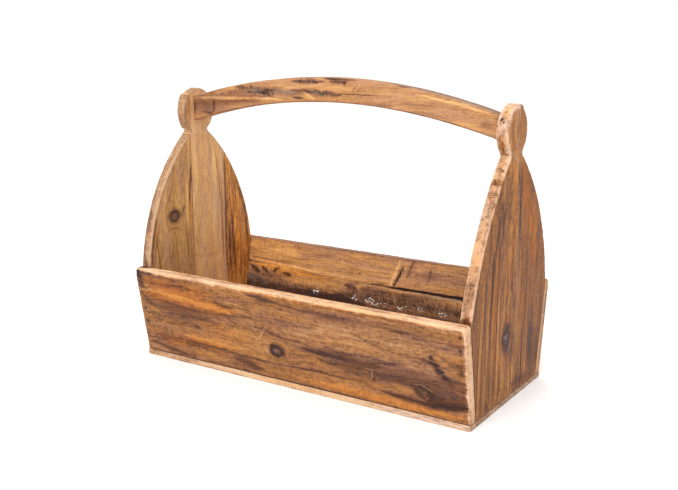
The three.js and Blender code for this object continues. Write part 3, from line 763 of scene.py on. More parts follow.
front_nail_marks, front_nail_spots = set_nails("front_nail", front_outward, "outer", lambda x, y, z: (x, z))
front_marks = front_nail_marks + age_and_painted_light_marks(
    # warm wax low on the board and over its left part
    ("outer", "warm", (15, 1.3, (-240, 96), (-190, 94), (-140, 94), (-80, 92)),
     (12, 0.8, (-236, 40), (-200, 30), (-150, 38), (-80, 40)), (7, 1, (10, 17), (120, 17), (245, 15)),
     (12, 0.4, (-150, 70), (-60, 54))),
    # blue-grey streaks under the rim, and the dark corner at its left
    ("outer", "dark", (3.6, 1, (-58, 123), (-43, 121), (-20, 119), (-8, 118)),
     (2.8, 0.75, (-14, 117), (20, 115), (60, 114), (100, 115)),
     (2.6, 0.55, (60, 111), (120, 113), (170, 112), (222, 113)),
     (8, 1, (-256, 130), (-246, 123), (-240, 112), (-238, 102)),
     (5, 0.9, (-256, 130), (-240, 129), (-216, 127)), (4, 0.7, (-247, 127), (-241, 122)),
     (3.4, 0.7, (-250, 106), (-236, 104), (-226, 106))),
    ("outer", "split", (0.6, 1, (-247, 127), (-242, 128), (-238, 124), (-240, 119), (-245, 119))),
    ("outer", "warm", (5, -0.9, (-243, 117), (-238, 108)), (13, 1, (-246, 113), (-190, 111), (-120, 110))),
    ("high", "dark", (6.5, 1, (-262, 3), (-247, 6), (-228, 9)),
     (3.6, 1.1, (-256, 10), (-240, 13), (-200, 15))),
    ("outer", "dark", (6, 0.5, (-240, 113), (-200, 113), (-150, 113))),
    # a fan of scratches and fine cracks by that corner
    ("outer", "scratch", (0.5, 0.5, (-246, 116), (-238, 113), (-224, 112)),
     (0.5, 0.4, (-248, 89), (-240, 99), (-234, 106)), (0.5, 0.5, (-243, 95), (-232, 102), (-215, 106)),
     (0.45, 0.5, (-246, 104), (-236, 108), (-226, 109)), (0.4, 0.4, (-150, 70), (-128, 66), (-116, 70))),
    ("outer", "split", (0.4, 0.8, (-247, 113), (-238, 110), (-226, 110)),
     (0.4, 0.8, (-245, 92), (-237, 100), (-228, 104)), (0.4, 0.7, (-247, 119), (-240, 117), (-229, 115)),
     (0.4, 0.6, (-244, 86), (-235, 95), (-224, 99)),
     (0.45, 0.5, (-241, 55), (-228, 64), (-217, 61), (-227, 52)), (0.5, 0.8, (-232, 111), (-222, 104)),
     (0.5, 0.8, (-238, 106), (-225, 98)), (0.45, 0.7, (-240, 100), (-228, 92))),
    ("outer", "light", (5, 0.7, (-238, 110), (-226, 106)), (4, 0.8, (-246, 96), (-228, 104))),
    ("outer", "pale", (1, 0.5, (-243, 108), (-238, 100), (-236, 92)),
     (0.9, 0.5, (-246, 102), (-234, 105), (-224, 110))),
    # the bright orange blaze, and the purple-brown shade under it
    ("outer", "light", (6, 1.1, (-236, 102), (-200, 99), (-155, 96), (-120, 93), (-88, 90)),
     (4.5, 0.6, (-190, 99), (-160, 96), (-140, 94)),
     (1.6, 0.5, (-230, 78), (-213, 68), (-208, 57), (-222, 50))),
    ("outer", "dark", (2.6, 0.75, (-232, 90), (-190, 86), (-155, 83), (-120, 84), (-60, 89), (-20, 88)),
     (8, 0.62, (-244, 84), (-205, 79), (-165, 76), (-115, 72)),
     (6, 0.5, (-242, 68), (-200, 64), (-150, 64)), (5, 0.6, (-244, 92), (-234, 86), (-226, 80))),
    # torn grain with pale edges
    ("outer", "dark", (1.8, 0.9, (-120, 101), (-96, 99), (-78, 98)), (3.4, 1, (-150, 60))),
    ("outer", "split", (0.6, 1, (-118, 102), (-98, 100), (-84, 97)),
     (0.6, 1, (-84, 101), (-66, 99), (-54, 95))),
    ("outer", "pale", (1.3, 0.3, (-88, 98), (-72, 97.5), (-60, 98.5))),
    ("outer", "dent", (2.5, 0.35, (-90, 99), (-58, 97))),
    ("outer", "split", (0.45, 0.8, (-74, 104), (-60, 101), (-48, 97)), (0.5, 0.6, (-157, 60), (-143, 59))),
    # a chipped triangle right of the middle, and stray scratches round it
    ("outer", "light", (1.6, 0.6, (-62, 74), (-54, 64), (-46, 60)),
     (1.4, 0.6, (-46, 60), (-41, 68), (-38, 77))),
    ("outer", "scratch", (0.5, 0.9, (-101, 78), (-97, 66), (-91, 59)),
     (0.45, 0.7, (-92, 60), (-84, 70), (-78, 77)), (0.55, 1.1, (-55, 84), (-50, 72), (-44, 62)),
     (0.55, 1.1, (-45, 62), (-38, 72), (-32, 83)), (0.5, 1, (-26, 87), (-14, 79), (2, 71)),
     (0.4, 0.7, (-60, 87), (-46, 90), (-28, 87)), (0.5, 0.9, (-96, 106), (-78, 104.5), (-60, 102)),
     (0.45, 0.8, (-70, 95), (-58, 92), (-48, 92)), (0.4, 0.6, (-66, 80), (-72, 88), (-84, 92)),
     (0.45, 0.7, (-10, 62), (2, 55), (-4, 46))),
    ("outer", "dark", (1.7, 0.8, (-58, 78), (-30, 76), (-6, 69)), (2.2, 0.5, (-50, 72), (-47, 63)),
     (2.5, 0.5, (-92, 80), (-80, 76))),
    ("outer", "split", (0.5, 0.7, (-56, 79), (-28, 76), (-8, 68))),
    ("outer", "dent", (5, 0.3, (-56, 70), (-38, 70))),
    # the long seam of dark grain low on the board, the smudge under it and the bright bands beside it
    ("outer", "split", (0.5, 0.55, (-244, 35), (-205, 35.5), (-168, 34), (-97, 32)),
     (0.6, 0.9, (-75, 31), (-20, 31), (20, 33), (60, 33), (118, 35))),
    ("outer", "dark", (2, 0.8, (-150, 36), (-110, 33), (-70, 31), (-30, 31)),
     (1.7, 0.6, (-20, 31), (40, 33), (90, 33), (124, 36)), (0.8, 0.6, (-159, 47), (-157, 35)),
     (6.5, 0.95, (-95, 27), (-72, 24), (-45, 17)), (3.4, 0.6, (-75, 19), (-48, 13)),
     (3.4, 0.95, (-246, 22), (-215, 19), (-185, 14), (-165, 11)),
     (2, 0.6, (-244, 28), (-220, 28), (-200, 27)), (2.4, 0.35, (-160, 28), (-130, 27), (-105, 26))),
    ("outer", "light", (5, 1, (-175, 44), (-140, 42), (-110, 41), (-75, 41)),
     (2.6, 0.7, (-125, 42), (-95, 41), (-70, 42)), (4.5, 0.55, (-160, 22), (-130, 20), (-105, 17))),
    ("outer", "ash", (1.8, 0.6, (-244, 15), (-215, 12), (-196, 9))),
    # the right half: a long blue-brown streak that widens, and an arc-shaped mark
    ("outer", "dark", (6.5, 0.85, (14, 62), (46, 61), (78, 61), (112, 58), (140, 60)),
     (3.6, 0.9, (30, 62), (60, 61), (92, 59)), (3, 0.6, (110, 60), (136, 65), (170, 70)),
     (14, 0.6, (50, 50), (124, 51), (180, 56), (256, 52)), (13, 0.6, (130, 48), (200, 44), (256, 40)),
     (8, 0.7, (196, 34), (220, 33), (254, 34))),
    ("outer", "warm", (8, -1, (30, 61), (90, 58)), (18, -0.6, (120, 50), (180, 48), (250, 46))),
    ("outer", "split", (0.45, 0.6, (118, 61), (140, 65), (162, 69)),
     (0.7, 0.9, (117, 57), (126, 51), (126, 42), (120, 36))),
    ("outer", "light", (16, 0.3, (40, 92), (140, 90), (250, 92)),
     (2.6, 0.5, (112, 52), (117, 45), (112, 40))),
    # cracks round the knot, and a pale fleck in it
    ("outer", "split", (1, 1.3, (-27, 48), (-25, 55), (-18, 58), (-11, 54)),
     (1, 1.3, (-10, 53), (-10, 46), (-17, 42), (-25, 44)), (0.8, 1.2, (-21, 56), (-17, 50), (-19, 44))),
    ("outer", "fleck", (1.6, 0.7, (-22, 50), (-20, 48))),
    # scratches over the right half, and the orange band at its foot
    ("outer", "scratch", (0.5, 0.9, (112, 54), (123, 53), (124, 44), (116, 36)),
     (0.45, 0.8, (120, 86), (138, 80), (160, 77)), (0.5, 0.8, (176, 46), (190, 48), (204, 42), (206, 32)),
     (0.45, 0.7, (176, 36), (184, 28), (198, 27)), (0.45, 0.6, (176, 92), (196, 88), (214, 92)),
     (0.4, 0.6, (134, 96), (150, 93), (172, 96)), (0.45, 0.7, (222, 78), (234, 74), (244, 76)),
     (0.4, 0.5, (-60, 112), (0, 107), (60, 112))),
    ("outer", "dark", (2, 0.5, (128, 52), (136, 45), (132, 38)),
     (5, 1.1, (134, 28), (165, 25), (203, 24), (228, 28), (256, 31)),
     (3, 0.9, (200, 22), (222, 24), (250, 26))),
    ("outer", "light", (6, 0.75, (10, 18), (80, 18), (150, 17), (240, 15)),
     (3.5, 0.35, (20, 47), (60, 44), (90, 42)), (4, 0.85, (148, 41), (170, 37), (190, 34)),
     (3, 0.3, (160, 70), (190, 68))),
    # crackled grain, hatched patch and torn black patches towards the right end
    ("outer", "split", (0.5, 0.9, (96, 99), (112, 94), (128, 90), (140, 84)),
     (0.5, 0.8, (108, 93), (124, 88), (150, 84), (165, 80)), (0.4, 0.6, (130, 92), (150, 88), (160, 86)),
     (0.4, 0.6, (150, 84), (176, 82), (196, 83)), (0.5, 0.8, (176, 76), (184, 70), (190, 76)),
     (0.5, 0.7, (196, 84), (190, 74))),
    ("outer", "dark", (2.2, 0.6, (84, 98)), (2, 0.7, (104, 95)), (1.8, 0.7, (116, 91)),
     (6.5, 0.7, (204, 90), (209, 78), (214, 68), (232, 54)), (3, 0.9, (190, 83), (206, 78)),
     (2.4, 1.5, (202, 89), (208, 84)), (2.8, 1.7, (203, 80), (215, 77)), (2.6, 1.6, (209, 72), (220, 70)),
     (2.2, 1.3, (218, 66), (226, 62)), (5, 0.8, (212, 68), (230, 62), (250, 60)),
     (5, 0.9, (176, 47), (183, 38), (192, 30)), (5, 1.1, (184, 46), (197, 43), (204, 36), (198, 28)),
     (4, 0.7, (198, 38), (220, 36)), (5, 0.3, (226, 108), (244, 106))),
    ("outer", "hatch", (7, 0.9, (200, 86), (214, 72), (230, 60)), (5, 1, (180, 42), (202, 34)),
     (7, 0.8, (206, 44), (240, 40))),
    ("outer", "dent", (4, 0.5, (206, 80), (222, 60))),
    ("outer", "split", (0.8, 0.9, (182, 44), (184, 37), (191, 34)),
     (0.7, 0.8, (190, 44), (198, 42), (200, 36), (193, 33))),
    ("outer", "dent", (3, 0.4, (188, 42), (198, 34))),
    ("outer", "light", (2.5, 0.5, (216, 66), (232, 72))),
    ("outer", "split", (0.5, 0.8, (240, 80), (238, 73), (245, 71))),
    # the rim
    ("high", "dark", (2.2, 0.9, (0, 3)), (2, 0.8, (50, 4)), (1.8, 1.1, (-300, 15.6), (300, 15.6)),
     (0.8, 0.8, (-230, 5), (-120, 6), (-20, 5)), (0.8, 0.8, (20, 7), (110, 6), (240, 7)),
     (0.9, 0.7, (-180, 9), (-60, 10), (60, 9)), (0.9, 0.7, (90, 11), (160, 10), (248, 11)),
     (1.6, 0.7, (-252, 10), (-225, 14), (-205, 16))),
    ("high", "warm", (3, 0.9, (-300, 14.6), (300, 14.6)), (4, 0.5, (20, 3), (90, 3), (200, 6))),
    # a dark line at the foot, wax gone orange at the top, and grey where it is worn off
    ("outer", "dark", (1.3, 1.5, (-258, 8.6), (258, 8.6))),
    ("outer", "warm", (4, 0.6, (-100, 127), (60, 126), (240, 127)),
     (24, -0.9, (-10, 84), (110, 100), (256, 98)), (12, -0.8, (90, 66), (180, 70), (246, 64)),
     (14, -0.5, (-50, 100), (40, 80))),
    ("outer", "hatch", (11, 0.55, (176, 104), (238, 105))),
    # the worn right end, with a painted shade line where it meets the end panel
    ("outer", "dark", (0.7, 0.5, (242.6, 124), (243, 60), (243.4, 12))),
    ("top", "pale", (5, 0.5, (4, 9), (70, 9), (136, 9))),
    ("outer", "warm", (3, 0.8, (240, 120), (241, 60), (241, 14))),
    ("top", "dark", (1.6, 0.35, (8, 12), (70, 12), (130, 12)), (1, 1, (-10, 15.6), (150, 15.6)),
     (0.8, 0.45, (10, 5), (40, 6), (80, 5)), (0.7, 0.4, (60, 8), (100, 7.6), (128, 8)), (1.3, 0.7, (24, 9)),
     (1, 0.7, (48, 4)), (1.2, 0.7, (96, 4))),
    ("top", "warm", (6, 0.4, (60, 8), (110, 8))),
)
front_finish = wood_finish(
    "side_wood", tint=(0.66, 0.62, 0.6), seed=5, contrast=0.82, bands=0.9, ring_gap=6.5, pith=(30, 60),
    saw=0.25, mellow=0.04, rubbed_tint=(0.88, 0.87, 0.87), stain_and_shade=(0.36, 0.3, 0.29), speckle=1.35,
)
front_columns = spaced(
    0, board_high.z - board_low.z, 1.35 * mm, 4 * mm, [z * mm - board_low.z for x, z in front_nail_spots])
front_foot_wall = wall(0.7, 0.5, 0.15)
front_left_wall = wall(2.8, 0.9, 0.6, 0.2, 10)
front_right_wall = wall(3.0, 1.0, 0.85, 0.1, 6)
front_rim = wall(5.4, 2.0, 1, 0.4, 26)
by_rim = near_rim(front_columns)
front_board = board(
    "front_board_looks",
    spaced(board_low.x, board_high.x, 2.6 * mm, 3 * mm, [x * mm for x, z in front_nail_spots]),
    board_low.z, board_high.z, front_columns, front_thick, front_place,
    (front_foot_wall, front_rim, faded(front_left_wall, front_rim, by_rim),
     faded(front_right_wall, front_rim, by_rim)),
    front_marks, seed=23, corner=4.5 * mm, knots=[(-19, 50, 9.5, 8.0)], relief=0.16, layers=12,
)
put(front_board, front_finish, "side_wood", "front_board")

# Rear boards
# Two narrower boards with an open joint between them that gapes towards the right. Their inner faces
# show fine saw marks, and the lower one is darker low down: partly stained by what the crate held, partly
# painted shade.
rear_thick = 14 * mm / cos(lean_angle)
lower_low, lower_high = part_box("rear_lower_board")
upper_low, upper_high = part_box("rear_upper_board")


def rear_place(along, across, through):
    return along, half_base + lean * (across - base_thick) - through, across


rear_outward = (0, cos(lean_angle), -sin(lean_angle))
rear_nail_marks, rear_nail_spots = set_nails("rear_", rear_outward, "outer", lambda x, y, z: (x, z))
rear_marks = rear_nail_marks + age_and_painted_light_marks(
    # the open joint, with painted shade along its line and on the faces inside it, and the wedge-shaped
    # dent above its left end
    ("inner", "dark", (1.9, 2.6, (-16, 87.6), (60, 88), (180, 88.4), (420, 89)),
     (2.2, 1.6, (10, 88), (150, 88.4), (420, 89)), (2, 1.5, (40, 122), (36, 112), (31, 100), (24, 86)),
     (2, 0.6, (14, 92), (0, 90), (-14, 88))),
    ("inner", "dent", (1.3, 2.4, (-6, 87.8), (130, 88.4), (400, 89)),
     (2.2, 1, (39, 122), (33, 106), (25, 88))),
    ("inner", "split", (1, 1.3, (39, 120), (34, 107), (27, 90)),
     (0.8, 1.6, (-40, 87.5), (10, 87.5), (80, 88), (400, 88.6))),
    ("inner", "light", (2.2, 1.2, (33, 128), (27, 106), (20, 88))),
    ("low", "dark", (20, 2.4, (-20, 7), (420, 7))),
    # the lower board darkens from a ragged tide line down: partly a stain from what the crate held,
    # partly painted shade low in the box
    ("inner", "dark", (11, 1.3, (-330, 60), (-215, 60), (-150, 58), (-20, 58)),
     (13, 0.9, (-90, 62), (-30, 68), (40, 69), (160, 69), (360, 67)),
     (16, 1.1, (-330, 44), (0, 48), (360, 50)), (5, 1.5, (-244, 73), (-230, 70), (-214, 67), (-200, 64)),
     (6, 1.2, (-56, 80), (-46, 79), (-34, 76)), (2.2, 0.9, (-36, 89), (-34, 83)),
     (6, 0.8, (-30, 78), (-6, 79), (14, 79)), (5, 0.6, (0, 82), (24, 79), (60, 80), (110, 82)),
     (30, 0.5, (-250, 30), (0, 28), (250, 30))),
    ("inner", "hatch", (10, 0.8, (-300, 70), (-190, 66), (-90, 64), (0, 70), (360, 70)),
     (7, 0.5, (-60, 76), (10, 78), (60, 78), (360, 78))),
    ("inner", "ash", (5, 0.7, (-240, 70), (-216, 67), (-196, 64)),
     (2.6, 0.7, (50, 84.5), (150, 84), (250, 84.5))),
    ("inner", "warm", (10, 0.6, (-244, 96), (-200, 92), (-150, 86), (-80, 84)),
     (12, 0.4, (-240, 120), (-180, 116), (-100, 112))),
    ("inner", "light", (12, 0.6, (-240, 121), (-190, 117), (-140, 114)), (2, 0.6, (2, 74), (8, 66)),
     (4, 0.4, (60, 80), (160, 79), (250, 80)), (4, 0.3, (-100, 66), (0, 68), (60, 70))),
    ("inner", "scratch", (0.8, 1.2, (25, 80), (29, 74), (34, 64)),
     (0.6, 1, (-246, 96.6), (-222, 94.6), (-206, 94)), (0.4, 0.6, (-240, 104), (-190, 102), (-140, 100)),
     (0.4, 0.6, (-60, 96), (0, 97), (18, 98)), (0.7, 0.9, (34, 126), (29, 108), (21, 90)),
     (0.4, 0.6, (60, 93), (140, 94), (230, 95))),
    # flecks of old whitewash
    ("inner", "fleck", (5, 1.2, (-110, 63), (-100, 63)), (5, 1.1, (-42, 64), (-30, 64)),
     (4.5, 1.2, (-20, 64), (-8, 63), (6, 62)), (3.6, 1.1, (16, 62)), (4, 1.2, (34, 62), (44, 62), (58, 62)),
     (4, 1.1, (64, 66), (78, 63)), (4.5, 1.1, (96, 64), (114, 63))),
    # the upper board's bright lines at the left, and its darker smears
    ("inner", "light", (2, 1, (-240, 97), (-190, 96), (-150, 95), (-100, 92)),
     (4, 1.1, (-236, 92), (-200, 90), (-130, 87)), (4, 0.3, (-175, 80), (-120, 78), (-80, 80)),
     (4, 0.4, (-120, 113), (-60, 110), (0, 108))),
    ("inner", "dark", (1.4, 0.5, (-240, 101), (-190, 100), (-150, 99)),
     (2, 1.1, (-250, 94.5), (-220, 92.5), (-204, 92)), (2.6, 1.4, (-188, 82), (-176, 90)),
     (3, 1.3, (-208, 88), (-194, 78)), (3.4, 1.4, (-232, 88), (-212, 78)), (3, 1.2, (-170, 84), (-152, 79)),
     (6, 0.7, (-246, 80), (-220, 78), (-190, 74), (-150, 70)), (2.2, 0.9, (-32, 103), (-31, 98)),
     (2, 0.35, (-244, 112), (-130, 108)), (3.4, 0.8, (58, 130), (50, 118), (46, 104)),
     (3, 0.7, (84, 122), (82, 112), (78, 98)), (20, 0.32, (60, 112), (150, 110), (250, 112)),
     (4, 0.5, (204, 106), (230, 104))),
    ("inner", "warm", (6, 1.2, (-220, 90), (-170, 87), (-120, 86))),
    ("inner", "hatch", (6, 0.8, (-240, 86), (-190, 84), (-140, 80)),
     (14, 0.35, (-240, 124), (-60, 118), (20, 110)), (14, 0.45, (60, 112), (150, 110), (240, 112))),
    ("inner", "split", (0.6, 0.9, (-176, 92), (-175, 84))),
    # the rim, the ends and the outside
    ("high", "ash", (6, 0.6, (-300, 3), (300, 3))),
    ("high", "dark", (8, 0.75, (-300, 9), (300, 9))),
    ("inner", "dark", (1.2, 0.9, (-300, 130.5), (300, 130.5))),
    ("top", "dark", (3, 0.8, (8, 5), (60, 6), (131, 6))),
    ("top", "ash", (6, 0.6, (8, 10), (131, 10))),
    ("foot", "dark", (3, 0.5, (8, 5), (60, 6), (131, 6))),
    ("outer", "dark", (3, 0.7, (-240, 30), (-120, 36), (40, 34)), (4, 0.5, (-100, 62), (60, 58), (200, 64)),
     (3.4, 0.6, (-60, 112), (60, 108), (200, 110))),
    ("outer", "light", (6, 0.5, (-200, 50), (-60, 48), (120, 46)), (4, 0.5, (-160, 116), (-40, 118))),
    ("outer", "split", (0.6, 0.9, (120, 28), (180, 27), (249, 29)),
     (0.6, 0.8, (-249, 105), (-200, 104), (-160, 106))),
    ("outer", "ash", (4, 0.6, (-120, 74), (0, 76), (90, 78))),
)
# Its tint is raised as painted light, to brighten inner faces that lie in the box's shade
rear_finish = wood_finish(
    "rear_wood", tint=(1.33, 1.5, 1.66), seed=9, contrast=0.62, ring_gap=4.5, pith=(70, 40), saw=1.0,
    mellow=0.04, stain_and_shade=(0.32, 0.3, 0.26), bitty=2.0,
)
rear_rows = spaced(lower_low.x, lower_high.x, 2.8 * mm, 2.5 * mm, [x * mm for x, z in rear_nail_spots])
rear_foot_wall = wall(0.7, 0.5, 0.15)
rear_end_wall = wall(1.6, 0.8, 0.5, 0.3, 20)
gaping = smooth(rear_rows, -0.012, 0.06)[:, None]
joint_wall = faded(wall(0.4, 0.15, 0.12), wall(0.4, 1.9, 0), gaping)
rear_rim = wall(5.4, 1.2, 0.16, 0.4, 26)
for name, low, high, low_wall, high_wall, corner, knots, seed in (
    ("rear_lower_board", lower_low.z, lower_high.z, rear_foot_wall, joint_wall, 0, [(-30, 34, 7, 6)], 31),
    ("rear_upper_board", upper_low.z, upper_high.z, joint_wall, rear_rim, 4 * mm, [], 37),
):
    columns = spaced(0, high - low, 1.5 * mm, 2 * mm, [z * mm - low for x, z in rear_nail_spots])
    by_rim = near_rim(columns) * (corner > 0)
    end_wall = faded(rear_end_wall, rear_rim, by_rim)
    # painted shade on the lower board's top face, inside the open joint
    joint_shade = [("high", "dark", [(-20, 7), (420, 7)], 20, 2.4)] * (corner == 0)
    piece = board(
        name + "_looks", rear_rows, low, high, columns, rear_thick, rear_place,
        (low_wall, high_wall, end_wall, end_wall), rear_marks + joint_shade, seed,
        corner=corner, knots=knots, relief=0.18, layers=11,
    )
    put(piece, rear_finish, "rear_wood", name)

# End panels
# Each is three upright staves glued edge to edge and then sawn to one outline: shoulders that bow in
# to a neck, and a round ear on it. The sawn rims are rubbed pale and still show the saw's strokes.
foot_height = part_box("left_middle_stave")[0].z
panel_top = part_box("left_middle_stave")[1].z
ear_radius = 32 * mm
ear_height = panel_top - ear_radius
neck_half, neck_height = 18.5 * mm, 307 * mm
panel_thick = 15 * mm
panel_face = board_high.x
seam_half_gap = 0.15 * mm
side_gap = 0.3 * mm
shoulder_bow = 20 * mm


def half_width(height, bow, side_thick):
    """How far the panel's outline is from its middle line at a height."""

    def between_sides(level):
        return half_base + lean * (level - base_thick) - side_thick - side_gap

    inside = between_sides(np.minimum(height, rim_height))
    start = Vector((between_sides(rim_height), rim_height))
    end = Vector((neck_half, neck_height))
    chord = end - start
    radius = (chord.length**2 / 4 + bow**2) / (2 * bow)
    centre = (start + end) / 2 + Vector((-chord.y, chord.x)).normalized() * (radius - bow)
    shoulder = centre.x + np.sqrt(np.maximum(radius**2 - (height - centre.y) ** 2, 0))
    ear = np.sqrt(np.maximum(ear_radius**2 - (height - ear_height) ** 2, 0))
    neck = np.where(height > neck_height, np.maximum(neck_half, ear), shoulder)
    above_neck = np.where(height > ear_height, ear, neck)
    return np.where(height <= rim_height, inside, above_neck)


def rear_edge(rows):
    return half_width(rows, shoulder_bow, rear_thick)


def stave_rows(low_edge, high_edge, first, last):
    """Rows up a stave, closer round the ear, kept to where the stave is wide enough to hold one."""
    upright = spaced(first, neck_height, 2.4 * mm, 1 * mm)
    neck = neck_height + np.array([0.8, 1.6, 2.4, 3]) * mm
    lift = np.radians(np.arange(-54, 89, 2.6))
    ear = ear_height + ear_radius * np.sin(lift)
    rows = np.unique(np.concatenate([upright, neck, ear, [panel_top - 0.02 * mm]]))
    rows = rows[(rows >= first - 1e-6) & (rows <= last + 1e-6)]
    return rows[high_edge(rows) - low_edge(rows) > 0.7 * mm]


def rim_or_seam(rows, is_rim):
    """The wear of an edge that is a sawn rim in some rows and a glued seam in others."""
    by_ear = smooth(rows, neck_height - 2 * mm, neck_height + 5 * mm)[:, None]
    is_rim = np.broadcast_to(is_rim, rows.shape)[:, None]
    return np.where(is_rim, faded(rim_wall, ear_wall, by_ear), seam)


def above_sides(rows):
    return rows > rim_height


def glued(rows):
    return False


def sawn(rows):
    return True


rim_wall = wall(1.7, 1.7, 1.0, 0.3, 30)
ear_wall = wall(5.0, 3.0, 0.85, 0.3, 14)


def stave(name, low_edge, high_edge, low_is_rim, high_is_rim, first, last, place, marks, seed, finish,
          knots=()):
    rows = stave_rows(low_edge, high_edge, first, last)
    low, high = low_edge(rows), high_edge(rows)
    foot = wall(0.5, 0.5, 0.1) if first < rim_height else rim_wall
    top = ear_wall if last == panel_top else rim_wall
    walls = (rim_or_seam(rows, low_is_rim(rows)), rim_or_seam(rows, high_is_rim(rows)), foot, top)
    piece = board(
        name + "_looks", rows, low, high, spaced(0, (high - low).max(), 1.5 * mm, 2 * mm), panel_thick,
        place, walls, marks, seed, relief=0.16, layers=12, knots=knots,
    )
    put(piece, finish, "panel_wood", name)


# Left end panel
# Its inner face shows: a greyish front stave with a knot, a smooth pale middle one and a darker,
# strongly striped rear one. Sawing the round ear left a sliver of the front stave glued to its side.
def left_place(along, across, through):
    return through - panel_face, across, along


def left_front(rows):
    return -half_width(rows, shoulder_bow, front_thick)


left_front_seam, left_rear_seam = -20 * mm, 54 * mm
left_marks = age_and_painted_light_marks(
    # front stave: streaks, the curved line under the knot and the split beside the seam
    ("inner", "dark", (3, 0.9, (128, -107), (150, -106), (178, -100), (200, -92)),
     (2, 0.6, (130, -101), (160, -98), (190, -88)), (1.6, 0.35, (130, -88), (170, -84)),
     (3, 0.7, (206, -36), (197, -42)), (2, 1.3, (262, -21), (236, -24), (206, -27)),
     (1.6, 0.5, (168, -22), (164, -28), (160, -35)), (1.4, 0.45, (166, -58), (140, -56), (128, -52)),
     (1.4, 0.9, (172, -97), (146, -94), (124, -92)), (1.2, 0.8, (156, -73), (136, -71), (122, -70)),
     (1.2, 0.9, (180, -37), (150, -34), (122, -31)), (1.2, 0.7, (240, -58), (222, -68), (204, -76)),
     (1.2, 0.3, (140, -40), (120, -38)), (0.8, 0.5, (140, -20.5), (220, -20.5), (290, -20.5))),
    ("inner", "split", (0.7, 0.9, (204, -36), (198, -40), (190, -46)),
     (0.5, 0.7, (170, -76), (175, -66), (174, -52), (167, -44))),
    ("inner", "scratch", (0.5, 0.7, (167, -78), (172, -66), (171, -52), (164, -43)),
     (0.5, 0.8, (252, -29), (226, -33), (196, -34), (162, -29)),
     (0.4, 0.6, (270, 57), (220, 60), (160, 66))),
    ("inner", "light", (3, 0.7, (250, -27), (225, -31), (196, -32), (160, -27))),
    ("inner", "ash", (10, 0.35, (270, -60), (220, -88), (180, -98))),
    # rear stave and the dark stripes by its seam
    ("inner", "dark", (2, 0.7, (290, 30), (240, 39), (200, 42), (150, 45), (90, 48)),
     (2.2, 1, (285, 49), (250, 52.5), (200, 53), (140, 52), (80, 53)),
     (2.4, 1.2, (160, 60), (120, 62), (84, 62)), (2.4, 1.1, (140, 72), (84, 74)),
     (1.3, 1, (206, 64), (150, 70), (100, 70)), (2, 0.45, (180, 82), (130, 88), (90, 88)),
     (2.4, 1, (230, 79), (180, 98), (135, 106), (90, 107)), (5, 0.5, (110, 100), (84, 100)),
     (3, 0.25, (128, -18), (122, 0), (120, 40)), (1.4, 0.6, (126, 4), (138, 5))),
    ("inner", "light", (4, 0.55, (250, 62), (200, 66), (150, 76)), (3, 0.35, (240, 72), (160, 92))),
    # the outside
    ("outer", "dark", (3, 0.6, (300, 20), (200, 26), (60, 22)), (4, 0.6, (240, -52), (120, -60), (20, -66)),
     (9, 0.5, (18, -90), (14, 0), (18, 96)), (4, 0.5, (180, 70), (100, 84), (30, 80))),
    ("outer", "light", (6, 0.4, (260, -8), (160, 2), (40, 0))),
    ("outer", "split", (0.6, 0.7, (90, 36), (50, 38), (9, 37))),
    # dark blotches down the front rim, and a painted highlight as a pale line along its inner edge
    ("low", "dark", (7, 0.95, (164, -2), (186, 7), (208, 2)), (6, 0.95, (142, 2), (166, 3)),
     (6, 1, (128, 8), (146, 5)), (5.5, 0.8, (206, 5), (236, 1)), (5, 0.7, (238, 3), (270, 3)),
     (3, 0.6, (196, 12), (224, 11)), (4, 0.7, (266, 8), (294, 5))),
    ("low", "pale", (2.5, 0.5, (128, 13.5), (210, 13.5), (300, 13.5))),
    # warm wax by the seams, and two more stripes on the rear stave
    ("inner", "warm", (3.4, 1.1, (250, -25), (214, -27), (168, -25)),
     (4, 0.9, (240, 46), (190, 47), (100, 46)), (10, 0.5, (220, 66), (150, 80), (100, 86))),
    ("inner", "dark", (1.6, 0.7, (246, 44), (190, 46), (120, 45)),
     (1.2, 0.5, (230, 35), (180, 36), (128, 35))),
)
# The left staves' tints are raised as painted light, to brighten the inner face that the box shades
left_rubbed = (0.54, 0.52, 0.5)
left_front_finish = wood_finish(
    "panel_wood_grey", tint=(1.14, 1.33, 1.42), seed=13, contrast=0.55, ring_gap=7, pith=(-60, 55),
    mellow=0.04, rubbed_tint=left_rubbed,
)
left_middle_finish = wood_finish(
    "panel_wood_pale", tint=(1.41, 1.75, 2.18), seed=15, contrast=0.4, ring_gap=8, pith=(10, 80),
    mellow=0.08, rubbed_tint=left_rubbed,
)
left_rear_finish = wood_finish(
    "panel_wood_striped", tint=(1.17, 1.07, 0.69), seed=19, contrast=1.05, ring_gap=5, pith=(120, 25),
    mellow=0.04, rubbed_tint=left_rubbed,
)
stave(
    "left_front_stave", left_front, lambda rows: left_front_seam - seam_half_gap, above_sides, glued,
    foot_height, neck_height, left_place, left_marks, 41, left_front_finish, [(191.5, -59, 8, 11)],
)
stave(
    "left_middle_stave",
    lambda rows: np.maximum(left_front(rows), left_front_seam + seam_half_gap),
    lambda rows: np.minimum(rear_edge(rows), left_rear_seam - seam_half_gap),
    lambda rows: left_front(rows) > left_front_seam,
    lambda rows: rear_edge(rows) < left_rear_seam,
    foot_height, panel_top, left_place, left_marks, 43, left_middle_finish,
)
stave(
    "left_rear_stave", lambda rows: left_rear_seam + seam_half_gap, rear_edge, glued, above_sides,
    foot_height, neck_height, left_place, left_marks, 47, left_rear_finish,
)
stave(
    "left_front_ear_cheek", left_front, lambda rows: left_front_seam - seam_half_gap, sawn, glued,
    neck_height, panel_top, left_place, left_marks, 53, left_front_finish,
)


# Right end panel
# Its outer face shows: brown staves with purple and orange stripes, a big knot low in the middle one,
# a seam that runs askew, and sawn steps down its front rim.
def right_place(along, across, through):
    return panel_face - through, across, along


flatter_bow = 13 * mm


def right_front(rows):
    return -half_width(rows, flatter_bow, front_thick)


def right_rear_seam(rows):
    return (20 - 11 * rows / panel_top) * mm


